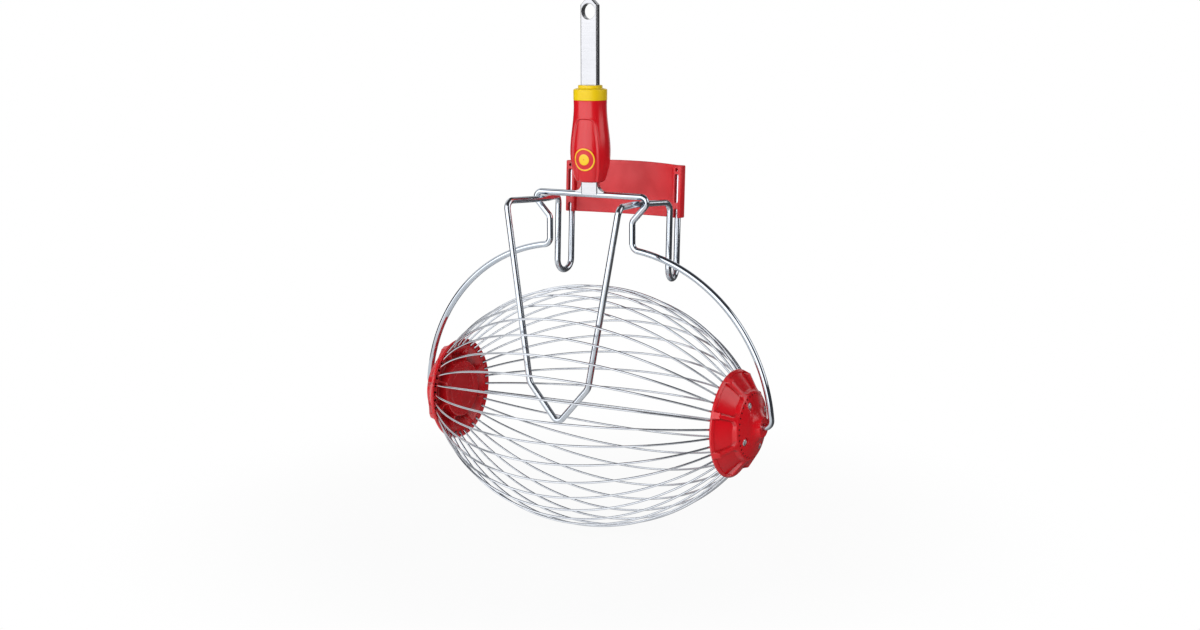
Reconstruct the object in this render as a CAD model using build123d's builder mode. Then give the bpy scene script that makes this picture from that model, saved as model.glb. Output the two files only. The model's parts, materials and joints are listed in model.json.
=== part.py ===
"""Roller fruit collector head: a sprung wire basket on a wire bow, with an emptying bracket on the bow.

Frame: +Z up, X along the roll axis, -Y the front. The origin is the point of the ground under the
middle of the basket. Lengths are millimetres, angles degrees.
"""
from math import asin, atan2, cos, degrees, radians, sin, sqrt, tan
import os

from build123d import *

# Basket of spring wires
BASKET_RADIUS = 114.5        # roll axis to the wire's middle, at mid length
BASKET_LENGTH = 300.0        # between the rim faces of the two hubs
BASKET_WIRE_D = 2.0
BASKET_WIRES = 36
BASKET_PHASE = 4.5           # first wire, turned from straight up towards the rear
WIRE_TAIL = 9.0              # axial length of a wire's straight end inside the hub
WIRE_FIT = 0.15              # clearance round a wire end in its groove

# Hub cover
RIM_RADIUS = 50.0
RIM_COVER = 4.0              # rim's edge beyond the wire's middle at the rim face
RIM_EDGE = 1.0               # chamfer round the rim face
RIM_LIP = 2.4                # width of the lip outside the pockets
RIM_LIP_RISE = 0.8           # and its height above their floors
COVER_WALL = 2.6
COVER_SEAT = 14.5            # rim face to the flat inner face of the cover
SHOULDER_DEPTH = 8.5         # rim face to the outer corner of a rib
SHOULDER_DROP = 2.0          # how far that corner lies inside the rim
PLATEAU_DEPTH = 20.0
POCKET_BROW = 2.0            # a pocket's inner end to the plateau's edge
DOME_DEPTH = 24.0
DOME_RADIUS = 20.0
BOSS_DEPTH = 31.5
BOSS_RADIUS = 9.5
BOSS_FOOT_RADIUS = 12.0
BOSS_FOOT_DEPTH = 26.0
RIB_PAIRS = 4                # ribs that run straight across the hub
RIB_PHASE = 20.7             # first rib, turned from the front upwards
RIB_WIDTH = 4.2
POCKET_RUN = 16.5            # rim's edge to a pocket's inner end

# Hub core, the clamp ring inside the cover
CORE_FIT = 0.12
CORE_LAND = 5.0              # flat rim of the core, measured radially
CORE_RIM_SET = 0.4           # core rim set back from the cover's rim face
CORE_FACE_INSET = 18.5       # wire's middle at the rim face to the edge of the core's face, as the next two
CORE_FACE_STAND = 1.5        # how far the middle face stands out of the rim face
CORE_BACK_INSET = 17.0
CORE_WELL_DEPTH = 8.0
CORE_WELL_INSET = 13.0
CORE_FLANGE_DEPTH = 12.0
CORE_FACE_WALL = 4.0
CORE_BORE_RADIUS = 11.0      # hollow round the axle end

# Hub screws
SCREWS = 4
SCREW_PHASE = 62.0
SCREW_INSET = 6.0            # edge of the core's back to the middle of a screw
SCREW_D = 3.5
SCREW_HEAD_D = 7.0
SCREW_HEAD_H = 2.2
SCREW_LENGTH = 14.0
SCREW_RECESS_D = 2.4
SCREW_RECESS_DEPTH = 1.2
SCREW_SEAT_DEPTH = 20.5      # rim face to the seat under the screw heads
SCREW_HOLE_FIT = 0.25
SCREW_PILOT_FIT = 0.03

# Wire bow
BOW_WIRE_D = 6.0
HEAD_HALF_WIDTH = 59.4       # middle plane to the wire's middle at the corner bend
HEAD_BEND = 5.5
FLARE_ANGLE = 47.0           # between crossbar and flare
NECK_HALF_WIDTH = 44.8
NECK_LENGTH = 26.46          # between the corner under the flare and the side arc
NECK_BEND = 7.0
BOW_RADIUS = 162.0
BOW_CENTRE_DROP = 8.0        # centre of the side arcs, below the roll axis
AXLE_REACH = 7.3023          # face of the hub's boss to the side arc's end
AXLE_BEND = 6.5
AXLE_FIT = 0.08              # running clearance in the hub's bore
AXLE_CLIP_D = 16.0
AXLE_CLIP_T = 0.8
AXLE_CLIP_GAP = 0.5
AXLE_OVERHANG = 2.0          # axle end beyond its clip

# Tang, weld, grip and collar
TANG_WIDTH = 17.5
TANG_THICK = 7.0
TANG_LENGTH = 180.4          # above the middle of the crossbar
TANG_CHAMFER = 5.5
TANG_EDGE = 0.6
LATCH_HOLE_D = 14.5
LATCH_HOLE_DROP = 11.5       # tang top to the middle of the hole
WELD_LEG = 6.5
WELD_WIDTH = 5.0
SEAT_FIT = 0.03
GRIP_GAP = 11.7              # middle of the crossbar to the grip's lower edge
GRIP_BELLY_RISE = 25.1       # above the grip's lower edge, as the next two
GRIP_WAIST_RISE = 57.5
GRIP_LENGTH = 76.1
GRIP_BOTTOM_WIDTH = 27.6
GRIP_BELLY_WIDTH = 32.6
GRIP_WAIST_WIDTH = 29.2
GRIP_TOP_WIDTH = 28.4
GRIP_SLIMNESS = 4.4          # how much less deep than wide the grip is
GRIP_CORNER = 8.0
GRIP_FIT = 0.08
GRIP_EDGE = 2.0
PANEL_SINK = 1.1
PANEL_RISE = 59.0            # grip's lower edge to the panel's upper edge
PANEL_TOP_WIDTH = 18.0
PANEL_BELLY_WIDTH = 25.0
PANEL_CORNER = 4.0
BADGE_D = 22.0
BADGE_RISE = 21.0            # grip's lower edge to the badge's middle
BADGE_T = 2.0
COLLAR_HEIGHT = 13.8
COLLAR_BAND = 10.0
COLLAR_NECK_WIDTH = 22.6
COLLAR_NECK = 2.6
COLLAR_LIP = 0.6

# Emptying bracket, in a frame of its own at its two seats in the bow's corners
BRACKET_WIRE_D = 6.0
BRACKET_PITCH = 2.5          # parked attitude, front end up
BRACKET_SEAT_FIT = 0.65
FRONT_HALF_WIDTH = 60.0
SPREADER_TURN = 29.73        # gap between two wires that the front legs enter, from straight up forwards
REAR_REACH = 43.6
HOOK_HALF_WIDTH = 58.8
HOOK_TOE_IN = 2.6            # front legs of the hooks outside the rear ones
HOOK_SPREAD = 21.7           # between the two legs of a hook
HOOK_DROP = 73.5             # runs down to the middle of the hook's bottom
CORNER_BEND = 8.0
WAIST_BEND = 70.0
SPREADER_HALF_WIDTH = 31.5
SPREADER_DROP = 168.0
TIP_DROP = 204.0
SPREADER_BEND = 12.0
TIP_BEND = 6.0

# Backing plate on the bracket's rear legs
PLATE_BOTTOM_DROP = 16.0     # runs down to the plate's lower edge
PLATE_HEIGHT = 52.0
PLATE_CROWN = 2.0
PLATE_T = 3.0
PLATE_BULGE = 7.0            # rearward bow of the plate between its sleeves
SLEEVE_WIDTH = 10.2
SLEEVE_DEPTH = 10.0
SLEEVE_CORNER = 2.4
SLEEVE_FIT = 0.08
SLEEVE_ROOF = 6.0
WINDOW_WIDTH = 4.2
WINDOW_HEIGHT = 28.0
WINDOW_LIFT = 14.0           # plate's lower edge to the bottom of a window
NOTCH_HEIGHT = 9.0

# Shared values that follow from the sizes above
EXIT_RADIUS = RIM_RADIUS - RIM_COVER
POCKET_RADIUS = RIM_RADIUS - POCKET_RUN
PLATEAU_RADIUS = POCKET_RADIUS - POCKET_BROW
CORE_FACE_RADIUS = EXIT_RADIUS - CORE_FACE_INSET
CORE_BACK_RADIUS = EXIT_RADIUS - CORE_BACK_INSET
CORE_WELL_RADIUS = EXIT_RADIUS - CORE_WELL_INSET
SCREW_CIRCLE = CORE_BACK_RADIUS - SCREW_INSET
REAR_HALF_WIDTH = HOOK_HALF_WIDTH + HOOK_TOE_IN
WIRE_R = BASKET_WIRE_D / 2
BOW_R = BOW_WIRE_D / 2
BRACKET_R = BRACKET_WIRE_D / 2
WIRE_STEP = 360 / BASKET_WIRES
LOWEST_TURN = (180 - BASKET_PHASE + WIRE_STEP / 2) % WIRE_STEP - WIRE_STEP / 2
AXIS_Z = BASKET_RADIUS * cos(radians(LOWEST_TURN)) + WIRE_R
RIM_X = BASKET_LENGTH / 2
ROLL_AXIS = Axis((0, 0, AXIS_Z), (1, 0, 0))
RISE = BASKET_RADIUS - EXIT_RADIUS
ARC_RADIUS = (RIM_X**2 + RISE**2) / (2 * RISE)
EXIT_ANGLE = degrees(asin(RIM_X / ARC_RADIUS))
CONE_FALL = tan(radians(EXIT_ANGLE))
CONE_COS = cos(radians(EXIT_ANGLE))
FLARE = radians(FLARE_ANGLE)
HEAD_CORNER = HEAD_HALF_WIDTH - HEAD_BEND + HEAD_BEND / tan(FLARE / 2)
ARC_END = RIM_X + BOSS_DEPTH + AXLE_REACH
BOW_CENTRE_X = ARC_END - sqrt(BOW_RADIUS**2 - BOW_CENTRE_DROP**2)
ARC_START = sqrt(BOW_RADIUS**2 - (NECK_HALF_WIDTH - BOW_CENTRE_X) ** 2) - BOW_CENTRE_DROP
NECK_TOP = ARC_START + NECK_LENGTH
CROSSBAR = NECK_TOP + (HEAD_CORNER - NECK_HALF_WIDTH) * tan(FLARE)
TANG_TOP = CROSSBAR + TANG_LENGTH
GRIP_BOTTOM = CROSSBAR + GRIP_GAP
GRIP_BELLY = GRIP_BOTTOM + GRIP_BELLY_RISE
GRIP_WAIST = GRIP_BOTTOM + GRIP_WAIST_RISE
GRIP_TOP = GRIP_BOTTOM + GRIP_LENGTH
PANEL_TOP = GRIP_BOTTOM + PANEL_RISE
BADGE_MIDDLE = GRIP_BOTTOM + BADGE_RISE
COLLAR_TOP = GRIP_TOP + COLLAR_HEIGHT
UPRIGHT = Plane(origin=(0, 0, AXIS_Z), x_dir=(1, 0, 0), z_dir=(0, -1, 0))

os.makedirs("parts", exist_ok=True)


def save(solid, name):
    """Label a finished piece and write it as one file."""
    solid.label = name
    export_step(solid, f"parts/{name}.step")


def meridian(turn):
    """Plane through the roll axis whose local Y points outwards, turned from straight up to the rear."""
    a = radians(turn)
    return Plane(origin=(0, 0, AXIS_Z), x_dir=(1, 0, 0), z_dir=(0, -cos(a), sin(a)))


def from_front(turn):
    """The same turn counted from the front upwards, as the hub's pattern is laid out."""
    return turn - 90


def level(height):
    """Horizontal plane at a height above the roll axis."""
    return Plane.XY.offset(AXIS_Z + height)


def cone_radius(depth, offset):
    """Radius, at a depth behind the rim face, of the cone that lies offset outside the wire ends."""
    return EXIT_RADIUS - CONE_FALL * depth + offset / CONE_COS


def oval(width, grow):
    """Section of the grip for a width, grown or shrunk all round, drawn in the open sketch."""
    depth = width - GRIP_SLIMNESS
    return RectangleRounded(width + 2 * grow, depth + 2 * grow, GRIP_CORNER + grow)


# Basket wires: one arc each, with straight ends that run on into the hub's grooves
tail_radius = cone_radius(WIRE_TAIL, 0)
for index in range(BASKET_WIRES):
    with BuildPart() as basket_wire:
        with BuildLine(meridian(BASKET_PHASE + WIRE_STEP * index)) as wire_path:
            Line((-RIM_X - WIRE_TAIL, tail_radius), (-RIM_X, EXIT_RADIUS))
            ThreePointArc((-RIM_X, EXIT_RADIUS), (0, BASKET_RADIUS), (RIM_X, EXIT_RADIUS))
            Line((RIM_X, EXIT_RADIUS), (RIM_X + WIRE_TAIL, tail_radius))
        with BuildSketch(Plane(origin=wire_path.line @ 0, z_dir=wire_path.line % 0)):
            Circle(WIRE_R)
        sweep(path=wire_path.wire())
    save(basket_wire.part, f"basket_wire_{index + 1:02d}")

# Hub cover: a domed dish with pockets between straight ribs, the bore for the bow's axle and screw seats
channel = WIRE_R + WIRE_FIT
cone_top = cone_radius(0, channel)
rim_band = (cone_radius(0, channel + COVER_WALL) - RIM_RADIUS) / CONE_FALL
lip_radius = RIM_RADIUS - RIM_LIP
lip_depth = rim_band + RIM_LIP / CONE_FALL
pocket_depth = rim_band + (RIM_RADIUS - POCKET_RADIUS) / CONE_FALL
pocket_reach = PLATEAU_DEPTH + COVER_WALL
axle_bore = BOW_R + AXLE_FIT
with BuildPart() as pockets:
    with BuildSketch(UPRIGHT):
        with BuildLine():
            Polyline(
                (RIM_X + rim_band + RIM_LIP_RISE, RIM_RADIUS + RIM_EDGE),
                (RIM_X + rim_band + RIM_LIP_RISE, RIM_RADIUS),
                (RIM_X + lip_depth + RIM_LIP_RISE, lip_radius),
                (RIM_X + lip_depth, lip_radius),
                (RIM_X + pocket_depth, POCKET_RADIUS),
                (RIM_X + pocket_reach, PLATEAU_RADIUS),
                (RIM_X + pocket_reach, RIM_RADIUS + RIM_EDGE),
                close=True,
            )
        make_face()
    revolve(axis=ROLL_AXIS)
    for pair in range(RIB_PAIRS):
        with BuildSketch(meridian(from_front(RIB_PHASE + 180 * pair / RIB_PAIRS))):
            with Locations((RIM_X, 0)):
                Rectangle(2 * pocket_reach, 4 * RIM_RADIUS)
        extrude(amount=RIB_WIDTH / 2, both=True, mode=Mode.SUBTRACT)
with BuildPart() as hub_cover_right:
    with BuildSketch(UPRIGHT):
        with BuildLine():
            Polyline(
                (RIM_X, cone_top),
                (RIM_X, RIM_RADIUS - RIM_EDGE),
                (RIM_X + RIM_EDGE, RIM_RADIUS),
                (RIM_X + rim_band + RIM_LIP_RISE, RIM_RADIUS),
                (RIM_X + SHOULDER_DEPTH, RIM_RADIUS - SHOULDER_DROP),
                (RIM_X + PLATEAU_DEPTH, PLATEAU_RADIUS),
                (RIM_X + DOME_DEPTH, DOME_RADIUS),
                (RIM_X + BOSS_FOOT_DEPTH, BOSS_FOOT_RADIUS),
                (RIM_X + BOSS_DEPTH, BOSS_RADIUS),
                (RIM_X + BOSS_DEPTH, axle_bore),
                (RIM_X + COVER_SEAT, axle_bore),
                (RIM_X + COVER_SEAT, cone_radius(COVER_SEAT, channel)),
                close=True,
            )
        make_face()
    revolve(axis=ROLL_AXIS)
    add(pockets.part, mode=Mode.SUBTRACT)
    for screw in range(SCREWS):
        seat = meridian(from_front(SCREW_PHASE + 360 * screw / SCREWS))
        seat_at = seat.from_local_coords((RIM_X + SCREW_SEAT_DEPTH, SCREW_CIRCLE))
        with BuildSketch(Plane(origin=seat_at, z_dir=(1, 0, 0))):
            Circle(SCREW_HEAD_D / 2 + SCREW_HOLE_FIT)
        extrude(amount=BOSS_DEPTH - SCREW_SEAT_DEPTH, mode=Mode.SUBTRACT)
        with BuildSketch(Plane(origin=seat_at, z_dir=(1, 0, 0))):
            Circle(SCREW_D / 2 + SCREW_HOLE_FIT)
        extrude(amount=COVER_SEAT - SCREW_SEAT_DEPTH, mode=Mode.SUBTRACT)

# Hub core: clamps the wire ends against the cover's cone, one groove for each wire
core_cone = channel - CORE_FIT
core_back = COVER_SEAT - CORE_FIT
core_rim = cone_radius(CORE_RIM_SET, core_cone)
with BuildPart() as hub_core_right:
    with BuildSketch(UPRIGHT):
        with BuildLine():
            Polyline(
                (RIM_X + CORE_RIM_SET, core_rim),
                (RIM_X + CORE_FLANGE_DEPTH, cone_radius(CORE_FLANGE_DEPTH, core_cone)),
                (RIM_X + CORE_FLANGE_DEPTH, CORE_BACK_RADIUS),
                (RIM_X + core_back, CORE_BACK_RADIUS),
                (RIM_X + core_back, CORE_BORE_RADIUS),
                (RIM_X - CORE_FACE_STAND + CORE_FACE_WALL, CORE_BORE_RADIUS),
                (RIM_X - CORE_FACE_STAND + CORE_FACE_WALL, 0),
                (RIM_X - CORE_FACE_STAND, 0),
                (RIM_X - CORE_FACE_STAND, CORE_FACE_RADIUS),
                (RIM_X + CORE_WELL_DEPTH, CORE_BACK_RADIUS),
                (RIM_X + CORE_WELL_DEPTH, CORE_WELL_RADIUS),
                (RIM_X + CORE_RIM_SET, core_rim - CORE_LAND),
                close=True,
            )
        make_face()
    revolve(axis=ROLL_AXIS)
    for index in range(BASKET_WIRES):
        with BuildSketch(meridian(BASKET_PHASE + WIRE_STEP * index)):
            with BuildLine():
                Polyline(
                    (RIM_X - CORE_FACE_STAND, cone_radius(-CORE_FACE_STAND, -channel)),
                    (RIM_X + COVER_SEAT, cone_radius(COVER_SEAT, -channel)),
                    (RIM_X + COVER_SEAT, RIM_RADIUS),
                    (RIM_X - CORE_FACE_STAND, RIM_RADIUS),
                    close=True,
                )
            make_face()
        extrude(amount=channel, both=True, mode=Mode.SUBTRACT)
    for screw in range(SCREWS):
        seat = meridian(from_front(SCREW_PHASE + 360 * screw / SCREWS))
        pilot_at = seat.from_local_coords((RIM_X + core_back, SCREW_CIRCLE))
        with BuildSketch(Plane(origin=pilot_at, z_dir=(-1, 0, 0))):
            Circle(SCREW_D / 2 + SCREW_PILOT_FIT)
        extrude(amount=SCREW_LENGTH - SCREW_SEAT_DEPTH + core_back + SCREW_HOLE_FIT, mode=Mode.SUBTRACT)

# Hub screws
with BuildPart() as hub_screws_right:
    for screw in range(SCREWS):
        seat = meridian(from_front(SCREW_PHASE + 360 * screw / SCREWS))
        seat_at = seat.from_local_coords((RIM_X + SCREW_SEAT_DEPTH, SCREW_CIRCLE))
        with BuildSketch(Plane(origin=seat_at, z_dir=(1, 0, 0))):
            Circle(SCREW_HEAD_D / 2)
        extrude(amount=SCREW_HEAD_H)
        with BuildSketch(Plane(origin=seat_at, z_dir=(-1, 0, 0))):
            Circle(SCREW_D / 2)
        extrude(amount=SCREW_LENGTH)
        with BuildSketch(Plane(origin=seat_at, z_dir=(1, 0, 0)).offset(SCREW_HEAD_H)):
            RegularPolygon(SCREW_RECESS_D, 6)
        extrude(amount=-SCREW_RECESS_DEPTH, mode=Mode.SUBTRACT)

# Push-on clip that keeps the hub on the axle
clip_depth = COVER_SEAT - AXLE_CLIP_GAP
with BuildPart() as axle_clip_right:
    with BuildSketch(Plane(origin=(RIM_X + clip_depth, 0, AXIS_Z), z_dir=(-1, 0, 0))):
        Circle(AXLE_CLIP_D / 2)
        Circle(BOW_R + SEAT_FIT, mode=Mode.SUBTRACT)
    extrude(amount=AXLE_CLIP_T)

for name, right in (
    ("hub_cover", hub_cover_right),
    ("hub_core", hub_core_right),
    ("hub_screws", hub_screws_right),
    ("axle_clip", axle_clip_right),
):
    with BuildPart() as left_twin:
        add(mirror(right.part, about=Plane.YZ, mode=Mode.PRIVATE))
    save(right.part, f"{name}_right")
    save(left_twin.part, f"{name}_left")

# Bow: crossbar, acute head corners, necks, side arcs and the inturned axles, one bent wire
start_turn = atan2(ARC_START + BOW_CENTRE_DROP, NECK_HALF_WIDTH - BOW_CENTRE_X)
mid_turn = (start_turn + asin(BOW_CENTRE_DROP / BOW_RADIUS)) / 2
arc_middle = (
    BOW_CENTRE_X + BOW_RADIUS * cos(mid_turn),
    BOW_RADIUS * sin(mid_turn) - BOW_CENTRE_DROP,
)
axle_tip = RIM_X + clip_depth - AXLE_CLIP_T - AXLE_OVERHANG
with BuildPart() as bow:
    with BuildLine(UPRIGHT) as bow_path:
        FilletPolyline(
            (0, CROSSBAR),
            (HEAD_CORNER, CROSSBAR),
            (NECK_HALF_WIDTH, NECK_TOP),
            (NECK_HALF_WIDTH, ARC_START),
            radius=(HEAD_BEND, NECK_BEND),
        )
        ThreePointArc((NECK_HALF_WIDTH, ARC_START), arc_middle, (ARC_END, 0))
        Line((ARC_END, 0), (axle_tip, 0))
        neck_foot = UPRIGHT.from_local_coords((NECK_HALF_WIDTH, ARC_START))
        fillet(bow_path.vertices().sort_by_distance(neck_foot)[0], radius=NECK_BEND)
        arc_foot = UPRIGHT.from_local_coords((ARC_END, 0))
        fillet(bow_path.vertices().sort_by_distance(arc_foot)[0], radius=AXLE_BEND)
    with BuildSketch(Plane(origin=(0, 0, AXIS_Z + CROSSBAR), z_dir=(1, 0, 0))):
        Circle(BOW_R)
    sweep(path=bow_path.wire())
    mirror(about=Plane.YZ)
save(bow.part, "bow")

# Tang: flat bar with a latch hole, coped over the crossbar
with BuildPart() as tang:
    with BuildSketch(UPRIGHT):
        with BuildLine():
            Polyline(
                (-TANG_WIDTH / 2, CROSSBAR),
                (-TANG_WIDTH / 2, TANG_TOP - TANG_CHAMFER),
                (-TANG_WIDTH / 2 + TANG_CHAMFER, TANG_TOP),
                (TANG_WIDTH / 2 - TANG_CHAMFER, TANG_TOP),
                (TANG_WIDTH / 2, TANG_TOP - TANG_CHAMFER),
                (TANG_WIDTH / 2, CROSSBAR),
                close=True,
            )
        make_face()
        with Locations((0, TANG_TOP - LATCH_HOLE_DROP)):
            Circle(LATCH_HOLE_D / 2, mode=Mode.SUBTRACT)
    extrude(amount=TANG_THICK / 2, both=True)
    chamfer(tang.edges().filter_by(Axis.Z), length=TANG_EDGE)
    with BuildSketch(Plane(origin=(-TANG_WIDTH, 0, AXIS_Z + CROSSBAR), z_dir=(1, 0, 0))):
        Circle(BOW_R + SEAT_FIT)
    extrude(amount=2 * TANG_WIDTH, mode=Mode.SUBTRACT)
save(tang.part, "tang")

# Weld fillets between the tang's edges and the crossbar
weld_root = TANG_WIDTH / 2 + SEAT_FIT
weld_floor = CROSSBAR
weld_top = CROSSBAR + BOW_R + WELD_LEG
with BuildPart() as tang_weld:
    with BuildSketch(UPRIGHT):
        with BuildLine():
            Polyline(
                (weld_root, weld_top),
                (weld_root, weld_floor),
                (weld_root + WELD_LEG, weld_floor),
                (weld_root + WELD_LEG, CROSSBAR + BOW_R),
            )
            RadiusArc((weld_root + WELD_LEG, CROSSBAR + BOW_R), (weld_root, weld_top), WELD_LEG)
        make_face()
    extrude(amount=WELD_WIDTH / 2, both=True)
    mirror(about=Plane.YZ)
    with BuildSketch(Plane(origin=(-BOW_RADIUS, 0, AXIS_Z + CROSSBAR), z_dir=(1, 0, 0))):
        Circle(BOW_R + SEAT_FIT)
    extrude(amount=2 * BOW_RADIUS, mode=Mode.SUBTRACT)
save(tang_weld.part, "tang_weld")

# Grip: oval moulded sleeve with a sunk panel on its front and a plain round badge
grip_sections = (
    (GRIP_BOTTOM, GRIP_BOTTOM_WIDTH),
    (GRIP_BELLY, GRIP_BELLY_WIDTH),
    (GRIP_WAIST, GRIP_WAIST_WIDTH),
    (GRIP_TOP, GRIP_TOP_WIDTH),
)
panel_front = GRIP_BELLY_WIDTH - GRIP_SLIMNESS
with BuildPart() as panel_floor:
    for height, width in grip_sections:
        with BuildSketch(level(height)):
            oval(width, -PANEL_SINK)
    loft()
with BuildPart() as panel_cut:
    with BuildSketch(UPRIGHT):
        with BuildLine():
            Polyline(
                (-PANEL_TOP_WIDTH / 2, PANEL_TOP),
                (PANEL_TOP_WIDTH / 2, PANEL_TOP),
                (PANEL_BELLY_WIDTH / 2, GRIP_BELLY),
                (PANEL_BELLY_WIDTH / 2, GRIP_BOTTOM),
                (-PANEL_BELLY_WIDTH / 2, GRIP_BOTTOM),
                (-PANEL_BELLY_WIDTH / 2, GRIP_BELLY),
                close=True,
            )
        face = make_face()
        fillet(face.vertices().group_by(Axis.Y)[-1], radius=PANEL_CORNER)
    extrude(amount=panel_front)
    add(panel_floor.part, mode=Mode.SUBTRACT)
with BuildPart() as badge_seat:
    with BuildSketch(UPRIGHT):
        with Locations((0, BADGE_MIDDLE)):
            Circle(BADGE_D / 2 + GRIP_FIT)
    extrude(amount=panel_front)
    with BuildSketch(UPRIGHT):
        with Locations((0, BADGE_MIDDLE)):
            Circle(BADGE_D)
    extrude(amount=panel_front / 2 - PANEL_SINK - BADGE_T, mode=Mode.SUBTRACT)
with BuildPart() as grip:
    for height, width in grip_sections:
        with BuildSketch(level(height)):
            oval(width, 0)
    loft()
    fillet(grip.edges().group_by(Axis.Z)[0], radius=GRIP_EDGE)
    add(panel_cut.part, mode=Mode.SUBTRACT)
    add(badge_seat.part, mode=Mode.SUBTRACT)
    with BuildSketch(level(GRIP_BOTTOM)):
        Rectangle(TANG_WIDTH + 2 * GRIP_FIT, TANG_THICK + 2 * GRIP_FIT)
    extrude(amount=GRIP_TOP - GRIP_BOTTOM, mode=Mode.SUBTRACT)
save(grip.part, "grip")

with BuildPart() as grip_badge:
    with BuildSketch(UPRIGHT.offset(panel_front / 2 - PANEL_SINK - BADGE_T + GRIP_FIT)):
        with Locations((0, BADGE_MIDDLE)):
            Circle(BADGE_D / 2)
    extrude(amount=panel_front)
    add(panel_floor.part, mode=Mode.INTERSECT)
save(grip_badge.part, "grip_badge")

# Collar above the grip, with a narrower chamfered neck
with BuildPart() as collar:
    with BuildSketch(level(GRIP_TOP)):
        oval(GRIP_TOP_WIDTH, COLLAR_LIP)
    extrude(amount=COLLAR_BAND)
    with BuildSketch(level(GRIP_TOP + COLLAR_BAND)):
        oval(GRIP_TOP_WIDTH, COLLAR_LIP)
    with BuildSketch(level(COLLAR_TOP - COLLAR_NECK)):
        oval(COLLAR_NECK_WIDTH, 0)
    loft()
    with BuildSketch(level(COLLAR_TOP - COLLAR_NECK)):
        oval(COLLAR_NECK_WIDTH, 0)
    extrude(amount=COLLAR_NECK)
    with BuildSketch(level(GRIP_TOP)):
        Rectangle(TANG_WIDTH + 2 * GRIP_FIT, TANG_THICK + 2 * GRIP_FIT)
    extrude(amount=COLLAR_TOP - GRIP_TOP, mode=Mode.SUBTRACT)
save(collar.part, "collar")

# Emptying bracket: one bent wire whose runs spring into the bow's two head corners
seat_gap = BOW_R + BRACKET_R + BRACKET_SEAT_FIT
seat_height = CROSSBAR - seat_gap
seat_x = HEAD_CORNER - seat_gap / tan(FLARE / 2)
pitch = radians(BRACKET_PITCH)
front_reach = BASKET_RADIUS * sin(radians(SPREADER_TURN) + pitch) - seat_height * sin(pitch)
waist_turn = atan2(FRONT_HALF_WIDTH - seat_x, front_reach) + atan2(REAR_HALF_WIDTH - seat_x, REAR_REACH)
waist = seat_x - WAIST_BEND * (1 / cos(waist_turn / 2) - 1)
PARKED = Plane(
    origin=(0, 0, AXIS_Z + seat_height),
    x_dir=(1, 0, 0),
    z_dir=(0, sin(pitch), cos(pitch)),
)
hook_bend = HOOK_SPREAD / 2 - SEAT_FIT
hook_rear = REAR_REACH + HOOK_SPREAD
sleeve_top = PLATE_HEIGHT - PLATE_BOTTOM_DROP - SLEEVE_ROOF
right_side = (
    (SPREADER_HALF_WIDTH, -front_reach, -SPREADER_DROP),
    (FRONT_HALF_WIDTH, -front_reach, 0),
    (waist, 0, 0),
    (REAR_HALF_WIDTH, REAR_REACH, 0),
    (REAR_HALF_WIDTH, REAR_REACH, -HOOK_DROP),
    (HOOK_HALF_WIDTH, hook_rear, -HOOK_DROP),
    (HOOK_HALF_WIDTH, hook_rear, sleeve_top - SLEEVE_FIT),
)
right_bends = (SPREADER_BEND, CORNER_BEND, WAIST_BEND, CORNER_BEND, hook_bend, hook_bend)
with BuildPart() as bracket_wire:
    with BuildLine(PARKED) as bracket_path:
        FilletPolyline(
            *[(-x, y, z) for x, y, z in reversed(right_side)],
            (0, -front_reach, -TIP_DROP),
            *right_side,
            radius=(*reversed(right_bends), TIP_BEND, *right_bends),
        )
    with BuildSketch(Plane(origin=bracket_path.line @ 0, z_dir=bracket_path.line % 0)):
        Circle(BRACKET_R)
    sweep(path=bracket_path.wire())
save(bracket_wire.part, "bracket_wire")

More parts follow.
